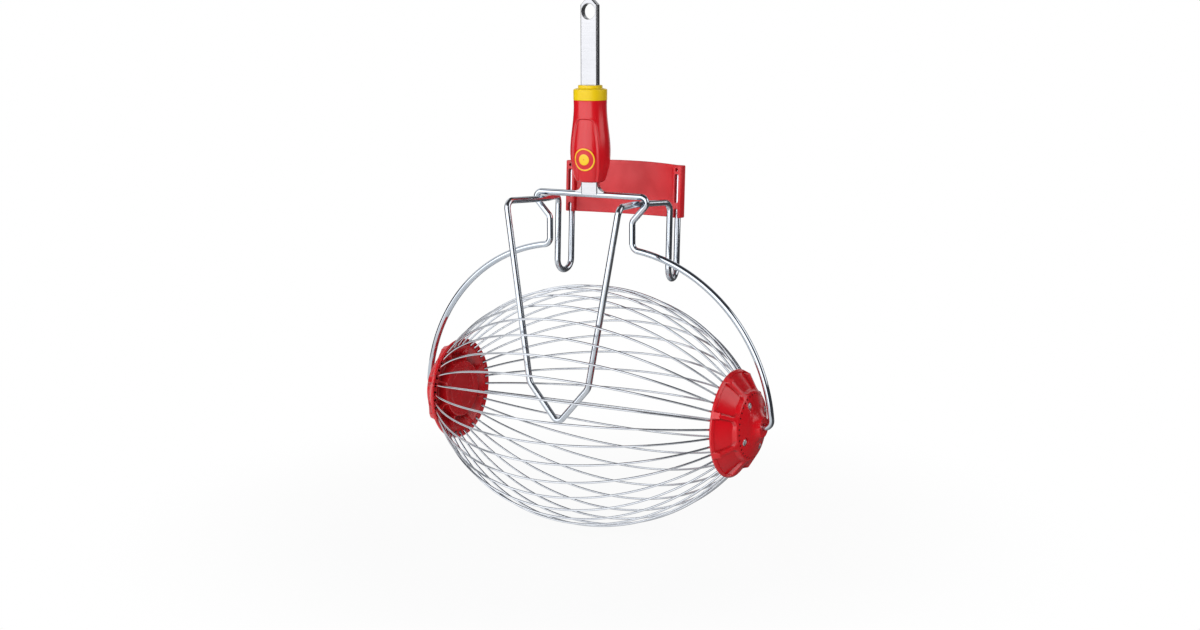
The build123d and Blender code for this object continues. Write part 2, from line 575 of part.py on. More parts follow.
# Backing plate: bowed between two sleeves that are pushed over the wire's ends
plate_floor = PARKED.offset(-PLATE_BOTTOM_DROP)
plate_span = HOOK_HALF_WIDTH
with BuildPart() as backing_plate:
    with BuildSketch(plate_floor):
        with BuildLine():
            rear = ThreePointArc(
                (-plate_span, hook_rear + PLATE_T / 2),
                (0, hook_rear + PLATE_BULGE + PLATE_T / 2),
                (plate_span, hook_rear + PLATE_T / 2),
            )
            front = ThreePointArc(
                (-plate_span, hook_rear - PLATE_T / 2),
                (0, hook_rear + PLATE_BULGE - PLATE_T / 2),
                (plate_span, hook_rear - PLATE_T / 2),
            )
            Line(rear @ 0, front @ 0)
            Line(rear @ 1, front @ 1)
        make_face()
        with Locations((-HOOK_HALF_WIDTH, hook_rear), (HOOK_HALF_WIDTH, hook_rear)):
            RectangleRounded(SLEEVE_WIDTH, SLEEVE_DEPTH, SLEEVE_CORNER)
    extrude(amount=PLATE_HEIGHT)
    crown_edge = HOOK_HALF_WIDTH + SLEEVE_WIDTH
    plate_top = PLATE_HEIGHT - PLATE_BOTTOM_DROP
    with BuildSketch(Plane(PARKED.origin, x_dir=(1, 0, 0), z_dir=-PARKED.y_dir)):
        with BuildLine():
            crown = ThreePointArc(
                (-crown_edge, plate_top - PLATE_CROWN),
                (0, plate_top),
                (crown_edge, plate_top - PLATE_CROWN),
            )
            Polyline(
                crown @ 1,
                (crown_edge, plate_top + PLATE_CROWN),
                (-crown_edge, plate_top + PLATE_CROWN),
                crown @ 0,
            )
        make_face()
    extrude(amount=-2 * hook_rear, mode=Mode.SUBTRACT)
    with BuildSketch(plate_floor):
        with Locations((-HOOK_HALF_WIDTH, hook_rear), (HOOK_HALF_WIDTH, hook_rear)):
            Circle(BRACKET_R + SLEEVE_FIT)
    extrude(amount=PLATE_HEIGHT - SLEEVE_ROOF, mode=Mode.SUBTRACT)
    window_middle = WINDOW_LIFT + WINDOW_HEIGHT / 2 - PLATE_BOTTOM_DROP
    window_plane = Plane(
        PARKED.from_local_coords((0, hook_rear, 0)), x_dir=(1, 0, 0), z_dir=-PARKED.y_dir
    )
    with BuildSketch(window_plane):
        with Locations((-HOOK_HALF_WIDTH, window_middle), (HOOK_HALF_WIDTH, window_middle)):
            SlotOverall(WINDOW_HEIGHT, WINDOW_WIDTH, rotation=90)
        with Locations((-HOOK_HALF_WIDTH, -PLATE_BOTTOM_DROP), (HOOK_HALF_WIDTH, -PLATE_BOTTOM_DROP)):
            Rectangle(WINDOW_WIDTH, 2 * NOTCH_HEIGHT)
    extrude(amount=SLEEVE_DEPTH, mode=Mode.SUBTRACT)
save(backing_plate.part, "backing_plate")
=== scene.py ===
"""Looks of a roller fruit collector head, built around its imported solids.

Sizes are millimetres in the frame of the solids: X along the roll axis, -Y the front, +Z up from the
ground. Each new surface is a formula on a grid of two parameters, worked out as whole arrays, and is
turned into metres when its mesh is made.
"""
from __future__ import annotations

import json
import logging
from collections.abc import Sequence
from dataclasses import dataclass, field
from enum import Enum

import bpy
import numpy as np
from mathutils import Matrix, Vector

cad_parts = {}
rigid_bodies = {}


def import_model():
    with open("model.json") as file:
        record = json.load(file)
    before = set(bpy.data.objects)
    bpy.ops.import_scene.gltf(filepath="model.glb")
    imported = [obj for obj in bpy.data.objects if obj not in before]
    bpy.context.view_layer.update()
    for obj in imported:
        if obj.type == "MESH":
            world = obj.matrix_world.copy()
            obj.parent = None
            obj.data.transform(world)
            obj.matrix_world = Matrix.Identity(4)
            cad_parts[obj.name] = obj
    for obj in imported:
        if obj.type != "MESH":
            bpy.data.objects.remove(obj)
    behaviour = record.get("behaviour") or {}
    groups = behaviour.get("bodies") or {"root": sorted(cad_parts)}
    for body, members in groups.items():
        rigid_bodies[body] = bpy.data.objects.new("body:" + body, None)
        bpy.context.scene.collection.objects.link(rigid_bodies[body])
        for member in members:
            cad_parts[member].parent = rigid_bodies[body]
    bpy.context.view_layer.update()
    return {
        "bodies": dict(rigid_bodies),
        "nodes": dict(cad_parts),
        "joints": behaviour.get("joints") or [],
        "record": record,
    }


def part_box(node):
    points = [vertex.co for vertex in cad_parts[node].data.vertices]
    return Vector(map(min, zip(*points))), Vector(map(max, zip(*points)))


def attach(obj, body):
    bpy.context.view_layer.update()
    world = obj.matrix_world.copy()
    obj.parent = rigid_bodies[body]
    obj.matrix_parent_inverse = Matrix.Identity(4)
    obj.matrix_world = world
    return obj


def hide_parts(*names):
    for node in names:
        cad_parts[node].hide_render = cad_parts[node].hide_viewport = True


MM = 0.001
WHITE = (1.0, 1.0, 1.0)
WHOLE = (0.0, 1.0)
LOG = logging.getLogger("fruit_collector")
Array = np.ndarray
Pair = tuple[float, float]
Colour = tuple[float, float, float]
Piece = bpy.types.Object
Tree = bpy.types.NodeTree
Socket = bpy.types.NodeSocket


class Side(Enum):
    """End of the roll axis that a hub is on; the value is the sign of X there."""

    LEFT = -1
    RIGHT = 1

    @property
    def word(self) -> str:
        """The side as it stands in the names of the nodes."""
        return self.name.lower()


class Body(Enum):
    """Moving body that a piece rides on."""

    HANDLE = "handle"
    BASKET = "basket"
    BRACKET = "bracket"


# Curves and surfaces as arrays


def unit(vectors: Array) -> Array:
    """Vectors of length one along the last axis."""
    return vectors / np.linalg.norm(vectors, axis=-1, keepdims=True)


def ease(value: Array, start: float, end: float) -> Array:
    """Smooth step: 0 before start, 1 after end, 3 t^2 - 2 t^3 between."""
    share = np.clip((value - start) / (end - start), 0.0, 1.0)
    return share * share * (3.0 - 2.0 * share)


def bell(value: Array, middle: float, width: float) -> Array:
    """Bell curve exp(-((value - middle) / width)^2)."""
    return np.exp(-(((value - middle) / width) ** 2))


def full_turn(count: int) -> Array:
    """Angles of one whole turn in even steps, in radians."""
    return np.linspace(0.0, 2 * np.pi, count, endpoint=False)


def quarter_turn(count: int) -> Array:
    """Angles from zero to a right angle in even steps, in radians."""
    return np.linspace(0.0, np.pi / 2, count)


def stacked(*parts: Array | float) -> Array:
    """Points from their coordinates, which are spread to a common shape."""
    return np.stack(np.broadcast_arrays(*parts), axis=-1)


def superellipse(
    half_width: Array | float, half_depth: Array | float, turn: Array, power: float
) -> Array:
    """Distance from the middle of |x / a|^n + |y / b|^n = 1, for each turn."""
    across = (np.abs(np.cos(turn)) / half_width) ** power
    deep = (np.abs(np.sin(turn)) / half_depth) ** power
    return (across + deep) ** (-1 / power)


def put(name: str, data: bpy.types.ID) -> Piece:
    """New object around its data, linked to the scene."""
    piece = bpy.data.objects.new(name, data)
    bpy.context.scene.collection.objects.link(piece)
    return piece


def bent_path(corners: Sequence[Sequence[float]], radii: Sequence[float], steps: int) -> Array:
    """Straight runs joined by tangent arcs.

    An arc starts radius * tan(turn / 2) before its corner and follows
    start + radius * (sin(a) * before + (1 - cos(a)) * inward) until a is the turn.

    Args:
        corners: points of the bare polyline, in three dimensions.
        radii: one bend radius for each inner corner.
        steps: points on each arc.

    Returns:
        Points along the path, one row each.
    """
    points = np.asarray(corners, float)
    radius = np.asarray(radii, float)
    before = unit(points[1:-1] - points[:-2])
    after = unit(points[2:] - points[1:-1])
    along = (before * after).sum(axis=1)
    turn = np.arccos(np.clip(along, -1.0, 1.0))
    start = points[1:-1] - before * (radius * np.tan(turn / 2))[:, None]
    inward = unit(after - before * along[:, None])
    angle = (turn[:, None] * np.linspace(0.0, 1.0, steps))[..., None]
    swing = np.sin(angle) * before[:, None] + (1 - np.cos(angle)) * inward[:, None]
    arcs = start[:, None] + radius[:, None, None] * swing
    return np.concatenate([points[:1], arcs.reshape(-1, 3), points[-1:]])


def rounded_profile(
    corners: Sequence[Sequence[float]], rounding: Sequence[float], bend: int, run: int
) -> Array:
    """Polyline in a plane with its inner corners rounded by parabolas.

    Near a corner p the line is (1 - t)^2 a + 2 t (1 - t) p + t^2 c, where a and c lie one rounding
    before and after p. Every profile of as many corners has as many points.

    Args:
        corners: points of the bare polyline.
        rounding: distance that each inner corner gives up on both of its runs.
        bend: points on each rounded corner.
        run: steps on each straight run.

    Returns:
        Points along the profile, one row each.
    """
    points = np.asarray(corners, float)
    give = np.asarray(rounding, float)[:, None]
    inner = points[1:-1]
    leave = inner + give * unit(points[:-2] - inner)
    join = inner + give * unit(points[2:] - inner)
    t = np.linspace(0.0, 1.0, bend)[None, :, None]
    bends = (1 - t) ** 2 * leave[:, None] + 2 * t * (1 - t) * inner[:, None] + t**2 * join[:, None]
    share = (np.arange(1, run) / run)[None, :, None]
    starts = np.concatenate([points[:1], join])[:, None]
    ends = np.concatenate([leave, points[-1:]])[:, None]
    runs = starts * (1 - share) + ends * share
    middle = np.concatenate([bends, runs[1:]], axis=1).reshape(-1, points.shape[1])
    return np.concatenate([points[:1], runs[0], middle, points[-1:]])


@dataclass
class Lattice:
    """Grid of points (copies, rows, columns, 3) that becomes one closed mesh.

    Rows may close on themselves or end on a pole at each end; columns always close.
    """

    points: Array
    close_rows: bool = False
    poles: tuple[Array, Array] | None = None
    marks: dict[str, Array] = field(default_factory=dict)

    def faces(self, index: Array, first_pole: int) -> tuple[Array, Array]:
        """Corners of the quads between rows and of the fans at the poles.

        Args:
            index: vertex numbers as (copies, rows, columns).
            first_pole: number of the first vertex after the grid.

        Returns:
            Quads and triangles, one face a row, turned alike.
        """
        ring = np.concatenate([index, index[:, :, :1]], axis=2)
        wrapped = np.concatenate([ring, ring[:, :1]], axis=1) if self.close_rows else ring
        here, there = wrapped[:, :-1], wrapped[:, 1:]
        quads = np.stack([here[..., :-1], here[..., 1:], there[..., 1:], there[..., :-1]], axis=-1)
        if self.poles is None:
            return quads.reshape(-1, 4), np.empty((0, 3), int)
        head, tail = ring[:, 0], ring[:, -1]
        copies = len(index)
        start = first_pole + np.arange(copies)[:, None]
        fans = np.concatenate([
            stacked(start, head[:, 1:], head[:, :-1]).reshape(-1, 3),
            stacked(start + copies, tail[:, :-1], tail[:, 1:]).reshape(-1, 3),
        ])
        return quads.reshape(-1, 4), fans

    def build(self, name: str) -> Piece:
        """Make the mesh, with its faces turned outwards.

        Args:
            name: name of the object and of its mesh.

        Returns:
            The new object, linked to the scene.
        """
        grid = self.points if self.points.ndim == 4 else self.points[None]
        vertices = grid.reshape(-1, 3)
        index = np.arange(len(vertices)).reshape(grid.shape[:3])
        quads, fans = self.faces(index, len(vertices))
        if self.poles is not None:
            vertices = np.concatenate([vertices, *(np.reshape(pole, (-1, 3)) for pole in self.poles)])
        triangles = np.concatenate([quads[:, [0, 1, 2]], quads[:, [0, 2, 3]], fans])
        a, b, c = (vertices[triangles[:, k]] for k in range(3))
        if (a * np.cross(b, c)).sum() < 0:
            quads, fans = quads[:, ::-1], fans[:, ::-1]
        corners = np.concatenate([quads.ravel(), fans.ravel()])
        starts = np.concatenate([4 * np.arange(len(quads)), quads.size + 3 * np.arange(len(fans))])
        mesh = bpy.data.meshes.new(name)
        mesh.vertices.add(len(vertices))
        mesh.vertices.foreach_set("co", (vertices * MM).astype(np.float32).ravel())
        mesh.loops.add(len(corners))
        mesh.loops.foreach_set("vertex_index", corners.astype(np.int32))
        mesh.polygons.add(len(starts))
        mesh.polygons.foreach_set("loop_start", starts.astype(np.int32))
        mesh.update(calc_edges=True)
        self.store_marks(mesh)
        mesh.shade_smooth()
        mesh.validate()
        return put(name, mesh)

    def store_marks(self, mesh: bpy.types.Mesh) -> None:
        """Write each mark onto the mesh as a point attribute, with zeros at the poles."""
        for name, values in self.marks.items():
            width = 3 if values.shape[-1] == 3 else 1
            full = np.zeros((len(mesh.vertices), width), np.float32)
            full[: values.size // width] = values.reshape(-1, width)
            kind, key = ("FLOAT_VECTOR", "vector") if width == 3 else ("FLOAT", "value")
            mesh.attributes.new(name, kind, "POINT").data.foreach_set(key, full.ravel())


@dataclass
class Bar:
    """Round bar along a path, with its end faces eased.

    A ring is path + radius * (cos(a) * side + sin(a) * lift), square to the path. Side and lift are
    carried along the path with the least twist: the slip between neighbours is summed and taken off.
    """

    path: Array
    radius: float
    aside: Sequence[float]
    sides: int
    END_BACK = (0.0, 0.10, 0.34)
    END_SHARE = (0.52, 0.82, 1.0)

    def spine(self) -> tuple[Array, Array]:
        """Path and radius at every ring, with three rings that ease each end."""
        back = np.array(self.END_BACK)[:, None] * self.radius
        share = np.array(self.END_SHARE)
        first, last = unit(self.path[1] - self.path[0]), unit(self.path[-2] - self.path[-1])
        head, tail = self.path[0] + back * first, (self.path[-1] + back * last)[::-1]
        line = np.concatenate([head, self.path[1:-1], tail])
        full = np.ones(len(self.path) - 2)
        return line, self.radius * np.concatenate([share, full, share[::-1]])

    def lattice(self) -> Lattice:
        """Rings of the bar, with a mark that holds each point's place along and around it."""
        line, radius = self.spine()
        tangent = unit(np.gradient(line, axis=0))
        side = unit(np.cross(tangent, np.asarray(self.aside, float)))
        lift = np.cross(tangent, side)
        carried = side[:-1] - tangent[1:] * (side[:-1] * tangent[1:]).sum(axis=1, keepdims=True)
        slip = np.arctan2((carried * lift[1:]).sum(axis=1), (carried * side[1:]).sum(axis=1))
        twist = np.concatenate([[0.0], np.cumsum(slip)])[:, None]
        turn = full_turn(self.sides)
        angle = (twist + turn)[..., None]
        points = line[:, None] + radius[:, None, None] * (
            np.cos(angle) * side[:, None] + np.sin(angle) * lift[:, None]
        )
        length = np.concatenate([[0.0], np.cumsum(np.linalg.norm(np.diff(line, axis=0), axis=1))])
        space = stacked(length[:, None], self.radius * np.cos(turn), self.radius * np.sin(turn))
        return Lattice(points, poles=(line[0], line[-1]), marks={"bar_space": space * MM})


def cylinders(feet: Array, axis: Sequence[float], radius: float, length: float, sides: int) -> Lattice:
    """Plain cylinders that stand on given points, used to carve holes.

    Args:
        feet: centre of each lower face, one row each.
        axis: direction of all the cylinders, along X, Y or Z.
        radius: their radius.
        length: their length.
        sides: facets around each one.

    Returns:
        One copy for each foot.
    """
    along = np.asarray(axis, float)
    side = np.roll(along, 1)
    lift = np.cross(along, side)
    angle = full_turn(sides)[:, None]
    ring = radius * (np.cos(angle) * side + np.sin(angle) * lift)
    ends = np.stack([ring, ring + length * along])
    return Lattice(feet[:, None, None] + ends, poles=(feet, feet + length * along))


def carve(piece: Piece, tool: Piece, operation: str = "DIFFERENCE") -> None:
    """Cut or join two pieces, keep the result in the first and remove the second.

    Args:
        piece: the piece that stays.
        tool: the piece that is used up; its material goes onto the faces that it leaves.
        operation: DIFFERENCE or UNION.
    """
    change = piece.modifiers.new("carve", "BOOLEAN")
    change.object = tool
    change.operation = operation
    change.solver = "EXACT"
    change.material_mode = "TRANSFER"
    graph = bpy.context.evaluated_depsgraph_get()
    result = bpy.data.meshes.new_from_object(piece.evaluated_get(graph))
    piece.modifiers.clear()
    old = piece.data
    piece.data = result
    result.name = piece.name
    bpy.data.meshes.remove(old)
    bpy.data.objects.remove(tool)


# Shader groups and finishes


def rgba(colour: Colour) -> tuple[float, float, float, float]:
    """A colour with full alpha."""
    return (*colour, 1.0)


def fill(tree: Tree, node: bpy.types.Node, inputs: dict) -> None:
    """Set a node's inputs, by name or number, to values or to other nodes' outputs."""
    for key, value in inputs.items():
        if isinstance(value, Socket):
            tree.links.new(value, node.inputs[key])
        else:
            node.inputs[key].default_value = value


def plug(tree: Tree, kind: str, inputs: dict | None = None, **settings) -> bpy.types.Node:
    """Add a shader node, set its options and fill its inputs.

    Args:
        tree: the tree that gets the node.
        kind: Blender's name of the node type, after ShaderNode.
        inputs: socket name or number to a value or to another node's output.
        settings: the node's own options.

    Returns:
        The new node.
    """
    node = tree.nodes.new(f"ShaderNode{kind}")
    for key, value in settings.items():
        setattr(node, key, value)
    fill(tree, node, inputs or {})
    return node


def blend_colour(tree: Tree, factor, first, second) -> Socket:
    """Mix of two colours by a factor; each may be a value or an output."""
    first, second = (rgba(part) if isinstance(part, tuple) else part for part in (first, second))
    return plug(tree, "Mix", {0: factor, 6: first, 7: second}, data_type="RGBA").outputs[2]


def sum_up(tree: Tree, operation: str, first, second=0.0) -> Socket:
    """One step of arithmetic; each term may be a value or an output."""
    return plug(tree, "Math", {0: first, 1: second}, operation=operation).outputs[0]


def dot(tree: Tree, vector: Socket, axis: Colour) -> Socket:
    """Length of a vector along an axis."""
    return plug(tree, "VectorMath", {0: vector, 1: axis}, operation="DOT_PRODUCT").outputs["Value"]


def fit_range(tree: Tree, value: Socket, band: Pair, to: Pair = WHOLE) -> Socket:
    """Smooth map of a value from one range to another."""
    ends = {"Value": value, "From Min": band[0], "From Max": band[1], "To Min": to[0], "To Max": to[1]}
    return plug(tree, "MapRange", ends, interpolation_type="SMOOTHSTEP").outputs[0]


def noise(tree: Tree, place: Socket, scale: float | Socket, detail: float) -> Socket:
    """Fractal noise in a space; the scale is per metre."""
    return plug(tree, "TexNoise", {"Vector": place, "Scale": scale, "Detail": detail}).outputs[0]


def mark(tree: Tree, name: str) -> Socket:
    """Value of a mark that a lattice has stored."""
    return plug(tree, "Attribute", attribute_name=name).outputs["Fac"]


class ShaderKit:
    """Node groups for the effects that several finishes share, each built once.

    A scale is of a noise, per metre; a band is the range of values over which a mask rises.
    """

    VECTORS = ("Vector", "Normal", "Space")
    FLOW_SCALE, FLOW_BAND = 42.0, (0.32, 0.68)
    DUST_SCALE, DUST_BAND, DUST_SPREAD = 260.0, (0.42, 0.72), (0.15, 1.0)
    UPWARD_BAND = (0.35, 0.95)
    WEAR_SCALE, WEAR_BAND = 150.0, (0.38, 0.70)
    STREAK_STRETCH, STREAK_BAND = (0.02, 1.0, 1.0), (0.35, 0.65)
    CLOUD_SCALE, CLOUD_BAND = 36.0, (0.35, 0.65)
    SPECK_SCALE, SPECK_BAND = 900.0, (0.60, 0.80)

    def __init__(self) -> None:
        """Build every group."""
        self.moulded_skin = self.make_moulded_skin()
        self.settled_dust = self.make_settled_dust()
        self.edge_wear_and_highlight = self.make_edge_wear_and_highlight()
        self.drawn_grain = self.make_drawn_grain()
        self.plating_cloud = self.make_plating_cloud()

    def start(self, name: str, inputs: Sequence[str], outputs: Sequence[str]):
        """New group with its sockets.

        Args:
            name: name of the group.
            inputs: names of its inputs; those in VECTORS are vectors and the others values.
            outputs: names of its outputs, which are values.

        Returns:
            The tree, the outputs of its input node and the inputs of its output node.
        """
        tree = bpy.data.node_groups.new(name, "ShaderNodeTree")
        for way, names in (("INPUT", inputs), ("OUTPUT", outputs)):
            for socket in names:
                kind = "NodeSocketVector" if socket in self.VECTORS else "NodeSocketFloat"
                tree.interface.new_socket(socket, in_out=way, socket_type=kind)
        source, sink = tree.nodes.new("NodeGroupInput"), tree.nodes.new("NodeGroupOutput")
        return tree, source.outputs, sink.inputs

    def make_moulded_skin(self) -> Tree:
        """Fine spark-eroded grain of a mould, and broad flow marks."""
        tree, given, result = self.start("moulded_skin", ("Vector", "Grain"), ("Height", "Flow"))
        tree.links.new(noise(tree, given["Vector"], given["Grain"], detail=2.0), result["Height"])
        broad = noise(tree, given["Vector"], self.FLOW_SCALE, detail=3.0)
        tree.links.new(fit_range(tree, broad, self.FLOW_BAND), result["Flow"])
        return tree

    def make_settled_dust(self) -> Tree:
        """Thin dust on what faces up, broken by noise."""
        tree, given, result = self.start("settled_dust", ("Vector", "Normal", "Amount"), ("Mask",))
        facing = plug(tree, "SeparateXYZ", {0: given["Normal"]}).outputs["Z"]
        up = fit_range(tree, facing, self.UPWARD_BAND)
        speck = noise(tree, given["Vector"], self.DUST_SCALE, detail=5.0)
        broken = fit_range(tree, speck, self.DUST_BAND, self.DUST_SPREAD)
        mask = sum_up(tree, "MULTIPLY", sum_up(tree, "MULTIPLY", up, broken), given["Amount"])
        tree.links.new(mask, result["Mask"])
        return tree

    def make_edge_wear_and_highlight(self) -> Tree:
        """Scuffing and a painted highlight along marked edges, broken by noise."""
        tree, given, result = self.start("edge_wear_and_highlight", ("Vector", "Edge", "Amount"), ("Mask",))
        patch = noise(tree, given["Vector"], self.WEAR_SCALE, detail=6.0)
        broken = fit_range(tree, patch, self.WEAR_BAND)
        mask = sum_up(tree, "MULTIPLY", sum_up(tree, "MULTIPLY", given["Edge"], broken), given["Amount"])
        tree.links.new(mask, result["Mask"])
        return tree

    def make_drawn_grain(self) -> Tree:
        """Long fine lines that a die leaves on drawn wire, stretched along the bar."""
        tree, given, result = self.start("drawn_grain", ("Space", "Fineness"), ("Height", "Streak"))
        stretch = plug(tree, "VectorMath", {0: given["Space"], 1: self.STREAK_STRETCH}, operation="MULTIPLY")
        line = noise(tree, stretch.outputs[0], given["Fineness"], detail=4.0)
        tree.links.new(line, result["Height"])
        tree.links.new(fit_range(tree, line, self.STREAK_BAND), result["Streak"])
        return tree

    def make_plating_cloud(self) -> Tree:
        """Soft clouds and small specks of a bright zinc plate."""
        tree, given, result = self.start("plating_cloud", ("Vector",), ("Cloud", "Speck"))
        cloud = noise(tree, given["Vector"], self.CLOUD_SCALE, detail=4.0)
        speck = noise(tree, given["Vector"], self.SPECK_SCALE, detail=2.0)
        tree.links.new(fit_range(tree, cloud, self.CLOUD_BAND), result["Cloud"])
        tree.links.new(fit_range(tree, speck, self.SPECK_BAND), result["Speck"])
        return tree


def blank_material(name: str) -> tuple[bpy.types.Material, Tree, bpy.types.Node]:
    """New material with only a Principled shader on its output."""
    material = bpy.data.materials.new(name)
    material.use_nodes = True
    tree = material.node_tree
    tree.nodes.clear()
    shader = plug(tree, "BsdfPrincipled")
    plug(tree, "OutputMaterial", {"Surface": shader.outputs[0]})
    return material, tree, shader


@dataclass(frozen=True)
class Plastic:
    """Moulded plastic: two tones, a grain in the gloss and relief, scuffed edges with painted highlights,
    painted shade in recesses, and dust.

    An inlay is a second colour where the piece has the mark "roundel".
    """

    name: str
    tone: Colour
    deep: Colour
    rubbed_and_highlit: Colour
    gloss: Pair
    inlay: Colour | None = None
    shade: float = 0.25
    specular: float = 0.66
    grain: float = 2600.0
    relief: float = 0.00002
    wear_and_highlight: float = 0.25
    dust: float = 0.05
    dust_tone: Colour = (0.55, 0.50, 0.45)
    INLAY_BAND = (0.35, 0.65)
    DUST_ROUGHNESS = 0.5

    def material(self, kit: ShaderKit) -> bpy.types.Material:
        """Build the material from the shared node groups."""
        material, tree, shader = blank_material(self.name)
        place = plug(tree, "TexCoord").outputs
        where = place["Object"]
        skin = plug(tree, "Group", {"Vector": where, "Grain": self.grain}, node_tree=kit.moulded_skin).outputs
        edges = {"Vector": where, "Edge": mark(tree, "edge"), "Amount": self.wear_and_highlight}
        wear_and_highlight = plug(tree, "Group", edges, node_tree=kit.edge_wear_and_highlight).outputs["Mask"]
        tops = {"Vector": where, "Normal": place["Normal"], "Amount": self.dust}
        dust = plug(tree, "Group", tops, node_tree=kit.settled_dust).outputs["Mask"]
        tone = blend_colour(tree, skin["Flow"], self.tone, self.deep)
        if self.inlay is not None:
            roundel = fit_range(tree, mark(tree, "roundel"), self.INLAY_BAND)
            tone = blend_colour(tree, roundel, tone, self.inlay)
        # Painted shade: the tone goes towards shade * deep where the mark painted_shade is set; marked edges
        # get the lighter scuffed tone, which is partly a painted highlight.
        shaded = tuple(self.shade * part for part in self.deep)
        for mask, colour in ((mark(tree, "painted_shade"), shaded), (wear_and_highlight, self.rubbed_and_highlit), (dust, self.dust_tone)):
            tone = blend_colour(tree, mask, tone, colour)
        dulled = sum_up(tree, "MULTIPLY", dust, self.DUST_ROUGHNESS)
        rough = sum_up(tree, "ADD", fit_range(tree, skin["Flow"], WHOLE, self.gloss), dulled)
        bump = plug(tree, "Bump", {"Height": skin["Height"], "Distance": self.relief}).outputs[0]
        fill(tree, shader, {"Base Color": tone, "Roughness": rough, "Normal": bump})
        fill(tree, shader, {"Specular IOR Level": self.specular})
        return material


@dataclass(frozen=True)
class Metal:
    """Plated or drawn steel: clouds in the tone, drawn lines along a bar, specks in the gloss."""

    name: str
    tone: Colour
    cloud: Colour
    gloss: Pair
    fineness: float = 1500.0
    relief: float = 0.000006
    on_bar: bool = True
    SPECK_ROUGHNESS = 0.15

    def material(self, kit: ShaderKit) -> bpy.types.Material:
        """Build the material from the shared node groups."""
        material, tree, shader = blank_material(self.name)
        where = plug(tree, "TexCoord").outputs["Object"]
        bar = plug(tree, "Attribute", attribute_name="bar_space").outputs["Vector"]
        cloud = plug(tree, "Group", {"Vector": where}, node_tree=kit.plating_cloud).outputs
        lines = {"Space": bar if self.on_bar else where, "Fineness": self.fineness}
        grain = plug(tree, "Group", lines, node_tree=kit.drawn_grain).outputs
        tone = blend_colour(tree, cloud["Cloud"], self.tone, self.cloud)
        dulled = sum_up(tree, "MULTIPLY", cloud["Speck"], self.SPECK_ROUGHNESS)
        rough = sum_up(tree, "ADD", fit_range(tree, grain["Streak"], WHOLE, self.gloss), dulled)
        bump = plug(tree, "Bump", {"Height": grain["Height"], "Distance": self.relief}).outputs[0]
        fill(tree, shader, {"Base Color": tone, "Roughness": rough, "Normal": bump, "Metallic": 1.0})
        return material


# RED_RUBBED_HIGHLIT, lighter and pinker, goes on marked edges: scuffing and painted highlight lines.
RED, RED_DEEP, RED_RUBBED_HIGHLIT = (0.63, 0.0045, 0.0110), (0.57, 0.0035, 0.0090), (0.78, 0.055, 0.066)
YELLOW, YELLOW_DEEP, YELLOW_RUBBED = (0.78, 0.56, 0.004), (0.75, 0.51, 0.003), (0.90, 0.68, 0.08)
SHADE, SHADE_DEEP = (0.10, 0.002, 0.004), (0.07, 0.001, 0.002)
TANG, TANG_CLOUD = (0.52, 0.525, 0.54), (0.50, 0.506, 0.523)
FINISHES: tuple[Plastic | Metal, ...] = (
    Plastic("hub_red", RED, RED_DEEP, RED_RUBBED_HIGHLIT, (0.17, 0.24)),
    # core_red is the hub's red made darker: painted shade on the clamp core.
    Plastic("core_red", (0.54, 0.004, 0.009), (0.46, 0.003, 0.007), RED_RUBBED_HIGHLIT, (0.24, 0.32)),
    Plastic("grip_red", RED, RED_DEEP, RED_RUBBED_HIGHLIT, (0.18, 0.25), grain=3400.0),
    Plastic("plate_red", RED, RED_DEEP, RED_RUBBED_HIGHLIT, (0.34, 0.44), grain=2200.0),
    Plastic("hole_shade", SHADE, SHADE_DEEP, RED_DEEP, (0.5, 0.6), wear_and_highlight=0.0, dust=0.0),
    Plastic("collar_yellow", YELLOW, YELLOW_DEEP, YELLOW_RUBBED, (0.30, 0.38), specular=0.35),
    Plastic("badge_yellow", RED, RED_DEEP, RED_RUBBED_HIGHLIT, (0.28, 0.36), inlay=(0.86, 0.53, 0.006)),
    Metal("bow_plate", (0.66, 0.71, 0.77), (0.60, 0.655, 0.72), (0.03, 0.06)),
    Metal("bracket_plate", (0.66, 0.70, 0.75), (0.59, 0.635, 0.69), (0.14, 0.20)),
    Metal("spring_wire", (0.73, 0.76, 0.80), (0.66, 0.69, 0.74), (0.04, 0.09)),
    Metal("tang_steel", TANG, TANG_CLOUD, (0.22, 0.27), relief=0.000003, on_bar=False),
    Metal("screw_steel", (0.88, 0.89, 0.90), (0.80, 0.81, 0.83), (0.34, 0.44), on_bar=False),
    Metal("clip_steel", (0.45, 0.46, 0.48), (0.38, 0.39, 0.41), (0.30, 0.40), on_bar=False),
)


class Workshop:
    """Holds the finishes, makes pieces and seats each one on its body."""

    def __init__(self, frame: dict) -> None:
        """Build every finish.

        Args:
            frame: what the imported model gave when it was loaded.
        """
        kit = ShaderKit()
        self.frame = frame
        self.materials = {finish.name: finish.material(kit) for finish in FINISHES}

    def dress(self, piece: Piece, finish: str) -> None:
        """Give a piece one finish all over."""
        piece.data.materials.clear()
        piece.data.materials.append(self.materials[finish])

    def make(self, lattice: Lattice, name: str, finish: str) -> Piece:
        """Turn a lattice into a piece with one finish."""
        piece = lattice.build(name)
        self.dress(piece, finish)
        return piece

    def seat(self, piece: Piece, body: Body, slot: str, node: str, sharp: float | None = None) -> None:
        """Make a finished piece ride on a body and stand for a solid.

        Args:
            piece: the finished piece.
            body: the body that it moves with.
            slot: not used.
            node: the solid that it stands for.
            sharp: least angle of the edges that aren't shaded smooth, in degrees.
        """
        if sharp is not None:
            piece.data.set_sharp_from_angle(angle=np.radians(sharp))
        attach(piece, body.value)
        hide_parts(node)
        LOG.info("%s on %s stands for %s", piece.name, body.value, node)

    def keep(self, node: str, finish: str) -> None:
        """Leave a solid in view with a better finish."""
        self.dress(self.frame["nodes"][node], finish)
        LOG.info("%s keeps its solid", node)


# Sub-assemblies


